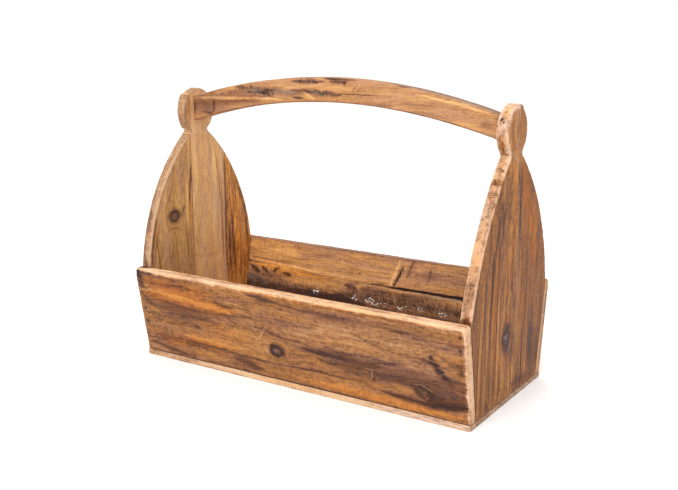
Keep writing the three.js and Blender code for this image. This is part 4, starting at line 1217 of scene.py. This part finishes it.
right_front_seam = -41 * mm
right_marks = age_and_painted_light_marks(
    # front stave
    ("outer", "dark", (3, 0.9, (205, -58), (170, -57), (140, -58)),
     (1.8, 0.7, (175, -75), (130, -76), (77, -70)), (2.2, 0.5, (120, -60), (70, -58), (20, -56)),
     (4, 0.8, (22, -66), (12, -60)), (2.4, 0.35, (100, -80), (40, -74)),
     (1.2, 0.7, (230, -42), (150, -42), (60, -42))),
    ("outer", "light", (2.8, 0.45, (190, -68), (140, -68), (60, -64)), (2.6, 0.4, (90, -48), (40, -48))),
    # middle stave
    ("outer", "dark", (3.8, 1, (262, -38), (240, -32), (225, -33), (200, -36)),
     (2.6, 0.7, (250, -29), (236, -28)), (1.8, 0.7, (300, 8), (286, 7), (262, 14)),
     (2.4, 0.55, (190, -12), (150, -12), (118, -14)), (2.2, 0.5, (170, 2), (130, 2), (100, -2)),
     (1.8, 0.55, (160, -30), (110, -33), (70, -34)), (3.4, 0.6, (75, 8), (66, 0), (62, -12)),
     (9, 0.7, (118, -14), (92, -12), (58, -11)), (6, 0.9, (104, 0), (94, -10), (80, -18)),
     (5, 1.2, (82, -2), (74, -8), (68, -6)), (4, 0.9, (96, -20), (84, -22)),
     (3, 0.45, (60, -8), (40, -10), (16, -10)), (2, 0.8, (46, -28), (18, -28))),
    ("outer", "split", (0.7, 1, (244, -20), (238, -14), (233, -8), (229, -3)),
     (0.5, 0.7, (238, -22), (233, -15), (226, -12)), (0.7, 0.9, (104, -6), (96, -12), (84, -14), (74, -8))),
    ("outer", "light", (5.5, 0.65, (285, 0), (262, 4), (230, 8), (205, 8)),
     (3.5, 0.5, (200, -22), (165, -24)), (2.6, 0.6, (120, -22), (108, -12), (104, 0)),
     (2.2, 0.45, (92, -32), (70, -32), (50, -28)), (2.4, 0.35, (50, -18), (20, -18))),
    ("outer", "warm", (14, 0.7, (118, -12), (90, -11), (60, -10))),
    # rear stave
    ("outer", "dark", (1.6, 0.6, (300, 15), (250, 18), (200, 20), (140, 22)),
     (2.6, 0.85, (225, 46), (184, 47), (140, 48), (100, 45), (60, 41), (20, 38)),
     (1.6, 0.8, (70, 40), (35, 40), (8, 40)), (2, 0.5, (200, 60), (150, 62), (110, 60)),
     (1.8, 1.4, (165, 93)), (1.6, 1.3, (159.5, 93.5)), (5, 0.65, (70, 88), (44, 90), (24, 86)),
     (3.4, 0.5, (80, 60), (50, 66), (30, 64)), (8, 0.6, (16, 6), (22, 24), (18, 50), (14, 86)),
     (2.2, 0.4, (130, 80), (90, 84)), (20, 0.55, (84, 66), (44, 74), (12, 80)),
     (12, 0.5, (150, 94), (80, 98), (10, 94)), (12, 0.4, (90, -70), (50, -72), (12, -70))),
    ("outer", "scratch", (0.5, 1.1, (66, 36.2), (35, 36.6), (10, 36.6)),
     (0.4, 0.7, (230, 24), (150, 25), (80, 24)), (0.4, 0.6, (220, -34), (160, -36), (100, -38)),
     (0.4, 0.6, (268, -8), (246, -4), (222, 2)), (0.4, 0.6, (200, 56), (150, 66), (100, 68)),
     (0.4, 0.6, (354, -8), (336, -10), (318, -6))),
    ("outer", "split", (0.8, 1.2, (70, 38.6), (35, 39), (8, 38.8))),
    ("outer", "ash", (1.5, 1.3, (330, 10.5), (250, 13), (150, 16.2), (60, 19), (-20, 21))),
    ("outer", "light", (3.4, 0.4, (240, 58), (190, 70), (140, 76)),
     (2.8, 0.45, (120, 32), (80, 30), (50, 27)), (10, 0.4, (290, 24), (240, 44), (190, 66))),
    ("outer", "warm", (14, 0.9, (296, 22), (250, 40), (200, 60), (150, 78))),
    ("outer", "hatch", (14, 0.5, (90, 62), (50, 72), (10, 78))),
    # yellowish and brown stripes down the front stave, and broad purple and orange ones beyond
    ("outer", "light", (2.6, 1.3, (180, -80), (110, -85), (0, -88)),
     (2.2, 1.2, (210, -60), (120, -67), (0, -71)), (2, 1.1, (180, -52), (90, -53), (0, -52)),
     (2, 1, (150, -36), (80, -36), (0, -34)), (2.4, 1, (60, 12), (30, 12), (0, 12)),
     (2.4, 0.9, (170, 52), (90, 54), (0, 52)), (3, 0.8, (196, 22), (160, 24), (110, 26)),
     (3, 0.8, (150, -4), (120, 4), (90, 10)), (2.4, 0.8, (230, -8), (200, -8), (160, -8)),
     (3, 0.6, (90, -78), (50, -74), (10, -72)), (2.6, 0.8, (60, -36), (30, -36), (6, -38)),
     (2.6, 0.7, (50, 0), (24, 2), (6, 2)), (3, 0.5, (210, -45), (150, -47), (90, -48))),
    ("outer", "dark", (1.4, 0.9, (150, -86), (80, -91), (0, -94)),
     (1.6, 0.9, (170, -74), (90, -79), (0, -81)), (1.2, 0.9, (160, -48), (80, -48), (0, -48)),
     (1.4, 0.8, (130, -31), (60, -30), (0, -30)), (4.2, 0.8, (250, -37), (200, -52), (140, -57), (90, -60)),
     (3.4, 0.7, (215, -36), (190, -36), (150, -38)), (3.4, 0.8, (296, 9), (270, 14), (244, 17), (200, 16)),
     (3.4, 0.6, (150, 10), (100, 8), (40, 8))),
    ("outer", "warm", (5, 1, (230, -44), (170, -46), (110, -47), (40, -46)),
     (7, 0.8, (300, -2), (250, 4), (200, 0), (140, -6)), (5, 0.8, (220, 30), (150, 32), (80, 30))),
    # ear and neck
    ("outer", "dark", (1.6, 0.5, (360, 8), (340, 6), (320, 8)),
     (1.2, 0.5, (366, -14), (340, -15), (316, -12)), (1.4, 0.6, (364, 2), (336, 1), (310, 2)),
     (1.3, 0.5, (360, 16), (336, 17), (316, 13)), (2.2, 0.4, (308, -18), (300, -12), (270, -14))),
    ("outer", "light", (34, 1.3, (410, 0), (340, 0), (280, 0))),
    ("outer", "warm", (30, -0.7, (400, 0), (340, 0), (296, 0)),
     (5, 0.7, (356, -16), (334, -14), (310, -10))),
    ("outer", "pale", (26, 0.26, (410, 0), (346, 0), (300, 0))),
    # cuts that the saw left across the front rim, and a painted shade line in the step at the neck
    ("low", "split", (0.35, 0.7, (296, 0), (294.6, 8), (295, 15)), (0.3, 0.6, (292.6, 2), (292, 13)),
     (0.45, 0.8, (268, 0), (267, 15)), (0.45, 0.8, (256, 0), (254, 9)), (0.4, 0.7, (245, 3), (243, 15)),
     (0.35, 0.6, (284, 4), (282, 15)), (0.4, 0.7, (230, 0), (228, 10))),
    ("low", "dark", (1.4, 0.6, (236, 2), (216, 4)), (1.2, 0.5, (226, 1), (206, 3)),
     (4, 0.3, (196, 8), (170, 12)), (1.2, 0.35, (310, 0), (310, 15))),
    ("low", "dent", (1.2, 0.5, (309.8, 0), (309.8, 15))),
    # black spots and warm blotches round the ear
    ("low", "dark", (2, 1.3, (353, 7), (350, 11)), (2, 1.2, (345, 12), (342, 14)),
     (1.4, 1, (350, 5), (347, 7))),
    ("low", "warm", (5, 0.9, (367, 4), (360, 6), (352, 3))),
    # brown, grey and orange lengths of the rim between neck and foot
    ("low", "warm", (9, 0.5, (316, 8), (290, 8), (262, 8)), (9, 0.6, (240, 8), (180, 8), (132, 8)),
     (14, -0.45, (372, 8), (350, 8), (326, 8)), (9, 0.8, (334, 8), (316, 8)), (4, 1.6, (137, 5), (133, 9))),
    ("low", "dark", (10, 0.3, (316, 8), (280, 8)), (7, 0.3, (262, 4), (240, 6)),
     (12, 0.5, (176, 8), (120, 8)), (0.7, 0.35, (300, 11), (240, 12), (190, 12)),
     (0.7, 0.35, (240, 5), (190, 4), (136, 5)), (0.7, 0.3, (200, 9), (160, 8), (130, 9)),
     (0.7, 0.3, (300, 4), (270, 4), (230, 3)), (8, 0.35, (326, 8), (304, 8)), (3, 0.6, (132, 0), (134, 15)),
     (3, 0.4, (170, 12), (150, 13), (140, 14))),
    ("low", "pale", (9, 0.25, (216, 8), (176, 8))),
    ("low", "dent", (2.4, 0.35, (294, 0), (293, 15)), (2.4, 0.35, (267, 0), (266, 15)),
     (2.6, 0.7, (240, 0), (232, 6)), (2.4, 0.5, (252, 0), (250, 15))),
)
right_front_finish = wood_finish(
    "panel_wood_brown", tint=(0.56, 0.475, 0.385), seed=21, contrast=0.9, bands=1.3, speckle=1.4,
    ring_gap=5.5, pith=(-90, 35), mellow=0.04, rubbed_tint=(0.68, 0.66, 0.69), stain_and_shade=(0.38, 0.3, 0.27),
)
right_middle_finish = wood_finish(
    "panel_wood_umber", tint=(0.66, 0.57, 0.48), seed=25, contrast=0.95, bands=1.3, speckle=1.4,
    ring_gap=6, pith=(-12, 50), mellow=0.04, rubbed_tint=(0.84, 0.86, 0.93), stain_and_shade=(0.38, 0.3, 0.29),
)
right_rear_finish = wood_finish(
    "panel_wood_russet", tint=(0.59, 0.5, 0.4), seed=27, contrast=0.85, bands=1.3, speckle=1.4,
    ring_gap=5, pith=(70, 40), mellow=0.04, rubbed_tint=(0.72, 0.69, 0.7), stain_and_shade=(0.38, 0.28, 0.22),
)
stave(
    "right_front_stave", right_front, lambda rows: right_front_seam - seam_half_gap, above_sides, glued,
    foot_height, neck_height, right_place, right_marks, 61, right_front_finish,
)
stave(
    "right_middle_stave",
    lambda rows: np.maximum(right_front(rows), right_front_seam + seam_half_gap),
    lambda rows: np.minimum(rear_edge(rows), right_rear_seam(rows) - seam_half_gap),
    lambda rows: right_front(rows) > right_front_seam,
    lambda rows: rear_edge(rows) < right_rear_seam(rows),
    foot_height, panel_top, right_place, right_marks, 67, right_middle_finish, [(87, -11, 12, 11.5)],
)
stave(
    "right_rear_stave", lambda rows: right_rear_seam(rows) + seam_half_gap, rear_edge, glued, above_sides,
    foot_height, panel_top, right_place, right_marks, 71, right_rear_finish,
)

# Handle bar
# One straight-grained board sawn to an arch, so its grain runs out at the curved edges. It is butted
# between the ears and nailed through them, and is waxed, with a grey weathered patch at its left.
handle_low, handle_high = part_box("handle")
handle_reach = handle_high.x
handle_arch = 35 * mm
handle_foot = handle_low.z
handle_right_top, handle_left_top = handle_foot + 30 * mm, handle_foot + 34 * mm
handle_rows = spaced(-handle_reach, handle_reach, 2.6 * mm, 1.5 * mm)
reach_share = handle_rows / handle_reach
handle_under = handle_foot + handle_arch * (1 - reach_share**2)
# The top is one smooth curve, deeper at the left end, with its full height in the middle
pull_up = 2 * handle_high.z - (handle_left_top + handle_right_top) / 2
handle_top = (
    ((1 + reach_share) / 2) ** 2 * handle_right_top
    + (1 - reach_share**2) / 2 * pull_up
    + ((1 - reach_share) / 2) ** 2 * handle_left_top
)


def handle_place(along, across, through):
    return along, handle_low.y + through, across


handle_marks = age_and_painted_light_marks(
    # the grey weathered patch, hatched by the plane, and the line of grain it fades into
    ("outer", "hatch", (5, 2.3, (-162, 372), (-140, 372), (-118, 370), (-92, 365)),
     (3.4, 1.4, (-44, 371), (-20, 371), (4, 369)), (2.2, 1.2, (-62, 363), (-46, 362))),
    ("outer", "dark", (4.2, 0.7, (-158, 373), (-130, 371), (-108, 369), (-92, 367)),
     (3.4, 1, (-126, 368), (-108, 366), (-94, 362)), (2, 0.9, (-110, 371), (-90, 370)),
     (4.2, 0.8, (-98, 371), (-78, 368), (-56, 368)),
     (4.6, 1, (-66, 371), (-40, 371), (-14, 370), (12, 368)), (2, 0.7, (-52, 372), (-24, 371)),
     (2, 1.2, (-64, 363), (-54, 362.5), (-46, 362)), (1, 0.8, (6, 370), (33, 370), (70, 370))),
    ("outer", "ash", (4, 0.5, (-140, 371), (-112, 369)), (3.4, 0.6, (-96, 370), (-76, 369), (-58, 369)),
     (2.6, 0.4, (-40, 371), (-10, 369))),
    ("outer", "split", (0.5, 0.7, (8, 370.4), (34, 370), (60, 370))),
    # a bright slash, and dark torn patches by the top with a short deep nick
    ("outer", "light", (1.3, 1.5, (-48, 371), (-39, 366), (-28, 361))),
    ("outer", "scratch", (0.8, 1.2, (-46, 371), (-38, 366), (-31, 362)),
     (0.6, 0.9, (26, 387), (32, 382), (28, 378)), (0.5, 0.8, (36, 386), (41, 382), (38, 378))),
    ("outer", "dark", (2.6, 1.1, (-66, 384), (-48, 383.5), (-30, 384), (-12, 384)),
     (2.6, 1.5, (-18, 390), (0, 389.5), (18, 389), (34, 388)), (2, 1.2, (-4, 385), (10, 384.5), (20, 385)),
     (1.4, 1.6, (18, 390), (18, 378)), (2, 0.5, (32, 377)), (1.2, 1.3, (94, 384), (110, 381.5))),
    ("outer", "hatch", (3.2, 1.8, (-58, 384), (-38, 384), (-20, 384)), (4, 1.4, (-14, 388), (8, 387))),
    ("outer", "split", (0.7, 1, (18.4, 389), (18, 379)), (0.6, 1.1, (34, 380), (32, 377), (28, 374)),
     (0.6, 1.1, (43, 380), (41, 377), (37.5, 374))),
    # stains at the left end, and the bright line above them
    ("outer", "dark", (2.6, 1.1, (-198, 355), (-198, 346), (-199, 336)),
     (6, 0.5, (-222, 352), (-210, 344), (-204, 334)), (2.6, 0.9, (-222, 338), (-208, 335), (-198, 338)),
     (4.4, 0.9, (-236, 354), (-234, 332)), (17, 0.75, (-280, 346), (-200, 352), (-110, 360)),
     (1.8, 1.3, (-183, 363)), (2.2, 0.35, (-180, 366), (-140, 366)),
     (1.2, 0.6, (-212, 352), (-165, 353), (-120, 355))),
    ("outer", "warm", (9, 0.6, (-230, 350), (-190, 352), (-120, 360))),
    ("outer", "pale", (1.5, 0.55, (-244, 355.5), (-190, 357), (-130, 358.5), (-90, 359))),
    ("outer", "light", (1.8, 1.6, (-236, 355), (-190, 356.5), (-130, 358.5), (-80, 359)),
     (3.5, 0.5, (-196, 362), (-172, 368), (-150, 374)), (4.5, 0.5, (-100, 377), (-20, 376), (40, 376)),
     (3, 0.5, (-180, 344), (-130, 351))),
    ("outer", "scratch", (0.8, 0.8, (-240, 356), (-180, 358), (-110, 360))),
    # the right half
    ("outer", "light", (1.6, 1, (120, 374), (170, 366), (226, 354)),
     (2.4, 0.5, (170, 344), (205, 337), (230, 332)), (4, 0.35, (60, 374), (100, 372), (140, 366))),
    ("outer", "dark", (5, 0.55, (206, 344), (222, 341)), (3, 0.4, (226, 352), (231, 344)),
     (1.8, 0.55, (112, 353), (140, 351), (165, 346)), (1.3, 0.5, (96, 362), (130, 361), (150, 358)),
     (1.4, 0.4, (60, 359), (90, 358))),
    ("outer", "hatch", (7, 0.45, (130, 366), (200, 352))),
    # dark arrises, the top going grey towards the right, and the back
    ("outer", "dark", (0.9, 1, (120, 380.5), (160, 373), (200, 363.4), (250, 350))),
    ("high", "dark", (8, 0.95, (60, 12), (150, 11), (300, 11)), (3, 0.8, (-30, 3), (30, 4)),
     (2.4, 1.2, (94, 2), (112, 2)), (4, 0.45, (-180, 10), (-40, 14), (60, 10))),
    ("high", "ash", (5, 0.9, (110, 8), (260, 8))),
    ("inner", "dark", (4, 0.6, (-120, 368), (-40, 372), (60, 370))),
    ("inner", "light", (5, 0.4, (80, 366), (180, 356))),
    ("inner", "hatch", (5, 0.7, (-60, 376), (60, 376))),
    ("inner", "split", (0.6, 0.8, (-200, 352), (-130, 357), (-60, 360))),
)
dark_line_up = 0.8
under_arris = [
    (x, (handle_foot + handle_arch * (1 - (x * mm / handle_reach) ** 2)) / mm + dark_line_up)
    for x in range(-240, 241, 20)
]
handle_marks += age_and_painted_light_marks(
    ("outer", "dark", (0.9, 0.9, *under_arris[0:9]), (0.8, 0.9, *under_arris[6:17]),
     (1, 1.1, *under_arris[14:25])),
)
handle_finish = wood_finish(
    "handle_wood", tint=(1.0, 1.08, 1.2), seed=29, contrast=0.43, ring_gap=3.4, pith=(400, 30),
    mellow=0.06, gold=-0.04, patchy=0.3, rubbed_tint=(0.75, 0.76, 0.82),
)
handle_wall = wall(2.4, 2.4, 0.4, 0.3, 20)
handle_columns = spaced(0, (handle_top - handle_under).max(), 1.3 * mm, 2 * mm)
handle = board(
    "handle_looks", handle_rows, handle_under, handle_top, handle_columns, handle_high.y - handle_low.y,
    handle_place, (handle_wall, handle_wall, seam, seam), handle_marks, 83, relief=0.16, layers=14,
)
put(handle, handle_finish, "handle_wood", "handle")

# Nails
# Thin wire nails with small flat heads, driven just under the surface and gone dark with rust: through
# the side boards into the end panels, up through the base, and through the ears into the handle.
nail_tree = bpy.data.node_groups.new("wire_nails", "GeometryNodeTree")
nail_tree.interface.new_socket("Places", in_out="INPUT", socket_type="NodeSocketGeometry")
nail_inputs = {}
for label, value in (
    ("Head radius", 1.7), ("Head thickness", 1.2), ("Shank radius", 0.9), ("Length", 36), ("Point", 3),
):
    socket = nail_tree.interface.new_socket(label, in_out="INPUT", socket_type="NodeSocketFloat")
    socket.default_value = value * mm
    nail_inputs[label] = socket.identifier
for label, kind in (("Seed", "NodeSocketInt"), ("Iron", "NodeSocketMaterial")):
    nail_inputs[label] = nail_tree.interface.new_socket(label, in_out="INPUT", socket_type=kind).identifier
nail_tree.interface.new_socket("Nails", in_out="OUTPUT", socket_type="NodeSocketGeometry")


def nail_node(kind, feeds, output=0, **settings):
    return add_node(nail_tree, kind, feeds, output, **settings)


def nail_math(operation, a, b):
    return nail_node("ShaderNodeMath", {0: a, 1: b}, operation=operation)


def by_ring(values):
    """One value for each ring of the nail's profile, from the head to the tip."""
    switch = nail_tree.nodes.new("GeometryNodeIndexSwitch")
    switch.data_type = "FLOAT"
    while len(switch.index_switch_items) < len(values):
        switch.index_switch_items.new()
    nail_tree.links.new(nail_node("GeometryNodeInputIndex", {}), switch.inputs[0])
    for ring, value in enumerate(values, 1):
        nail_tree.links.new(value, switch.inputs[ring])
    return switch.outputs[0]


given = nail_tree.nodes.new("NodeGroupInput").outputs
head, head_thick, shank = given["Head radius"], given["Head thickness"], given["Shank radius"]
ring_depths = by_ring([
    nail_math("MULTIPLY", head_thick, 0.0), nail_math("MULTIPLY", head_thick, 0.16),
    nail_math("MULTIPLY", head_thick, 0.5), head_thick,
    nail_math("SUBTRACT", given["Length"], given["Point"]), given["Length"],
])
ring_radii = by_ring([
    nail_math("MULTIPLY", head, 0.78), head, head, shank, shank, nail_math("MULTIPLY", shank, 0.12),
])
line = nail_node("GeometryNodeMeshLine", {"Count": 6, "Offset": (0, 0, -mm)})
inward = nail_node("ShaderNodeCombineXYZ", {"Z": nail_math("MULTIPLY", ring_depths, -1.0)})
line = nail_node("GeometryNodeSetPosition", {"Geometry": line, "Position": inward})
axis = nail_node("GeometryNodeMeshToCurve", {"Mesh": line})
round_section = nail_node("GeometryNodeCurvePrimitiveCircle", {"Resolution": 14, "Radius": 1.0})
nail = nail_node("GeometryNodeCurveToMesh",
                 {"Curve": axis, "Profile Curve": round_section, "Scale": ring_radii, "Fill Caps": True})
outward = nail_node("GeometryNodeInputNamedAttribute", {"Name": "outward"}, data_type="FLOAT_VECTOR")
turned = nail_node("FunctionNodeAlignRotationToVector", {"Vector": outward}, axis="Z")
least, most = (-0.02, -0.02, 0), (0.02, 0.02, 6)
tilt = nail_node("FunctionNodeRandomValue", {"Min": least, "Max": most, "Seed": given["Seed"]},
                 data_type="FLOAT_VECTOR")
turned = nail_node("FunctionNodeRotateRotation", {"Rotation": turned, "Rotate By": tilt},
                   rotation_space="LOCAL")
nails = nail_node("GeometryNodeInstanceOnPoints",
                  {"Points": given["Places"], "Instance": nail, "Rotation": turned})
nails = nail_node("GeometryNodeRealizeInstances", {"Geometry": nails})
nails = nail_node("GeometryNodeSetMaterial", {"Geometry": nails, "Material": given["Iron"]})
nail_node("NodeGroupOutput", {"Nails": nails})

iron = Recipe("rusted_iron")
where = iron.node("TexCoord", {}, "Object")
rust = iron.noise(where, (900, 900, 900), 3, 4, 0.6)
grime = iron.noise(where, (260, 260, 260), 8, 2)
rusted = iron.ease(iron.add(rust, iron.swing(grime, 0.5)), 0.42, 0.62)
iron_colour = iron.mix(rusted, (0.035, 0.031, 0.03, 1), (0.1, 0.045, 0.022, 1))
iron_bump = iron.node("Bump", {"Strength": 0.5, "Distance": 0.1 * mm, "Height": rust})
iron_shader = iron.node("BsdfPrincipled", {
    "Base Color": iron_colour, "Metallic": iron.ease(rusted, 0, 1, 0.7, 0.1),
    "Roughness": iron.ease(rusted, 0, 1, 0.5, 0.85), "Normal": iron_bump,
})
iron.node("OutputMaterial", {"Surface": iron_shader})

for name, length, seed, rows in (
    ("side_nails", 36, 1, (("front_nail", front_outward), ("rear_lower_nail", rear_outward),
                           ("rear_upper_nail", rear_outward))),
    ("base_nails", 24, 2, (("base_nail", (0, 0, -1)),)),
    ("handle_nails", 34, 3, (("handle_nail_left", (-1, 0, 0)), ("handle_nail_right", (1, 0, 0)))),
):
    driven = [(node, way) for prefix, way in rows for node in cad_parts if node.startswith(prefix)]
    places = bpy.data.meshes.new(name)
    places.from_pydata([head_of(node, way) for node, way in driven], [], [])
    ways = places.attributes.new("outward", "FLOAT_VECTOR", "POINT")
    ways.data.foreach_set("vector", np.array([way for _, way in driven], np.float32).ravel())
    piece = bpy.data.objects.new(name, places)
    scene.collection.objects.link(piece)
    maker = piece.modifiers.new("wire_nails", "NODES")
    maker.node_group = nail_tree
    maker[nail_inputs["Length"]] = length * mm
    maker[nail_inputs["Seed"]] = seed
    maker[nail_inputs["Iron"]] = iron.material
    finished = bpy.data.meshes.new_from_object(piece.evaluated_get(bpy.context.evaluated_depsgraph_get()))
    piece.modifiers.clear()
    piece.data = finished
    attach(piece, "root")
    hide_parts(*[node for node, _ in driven])
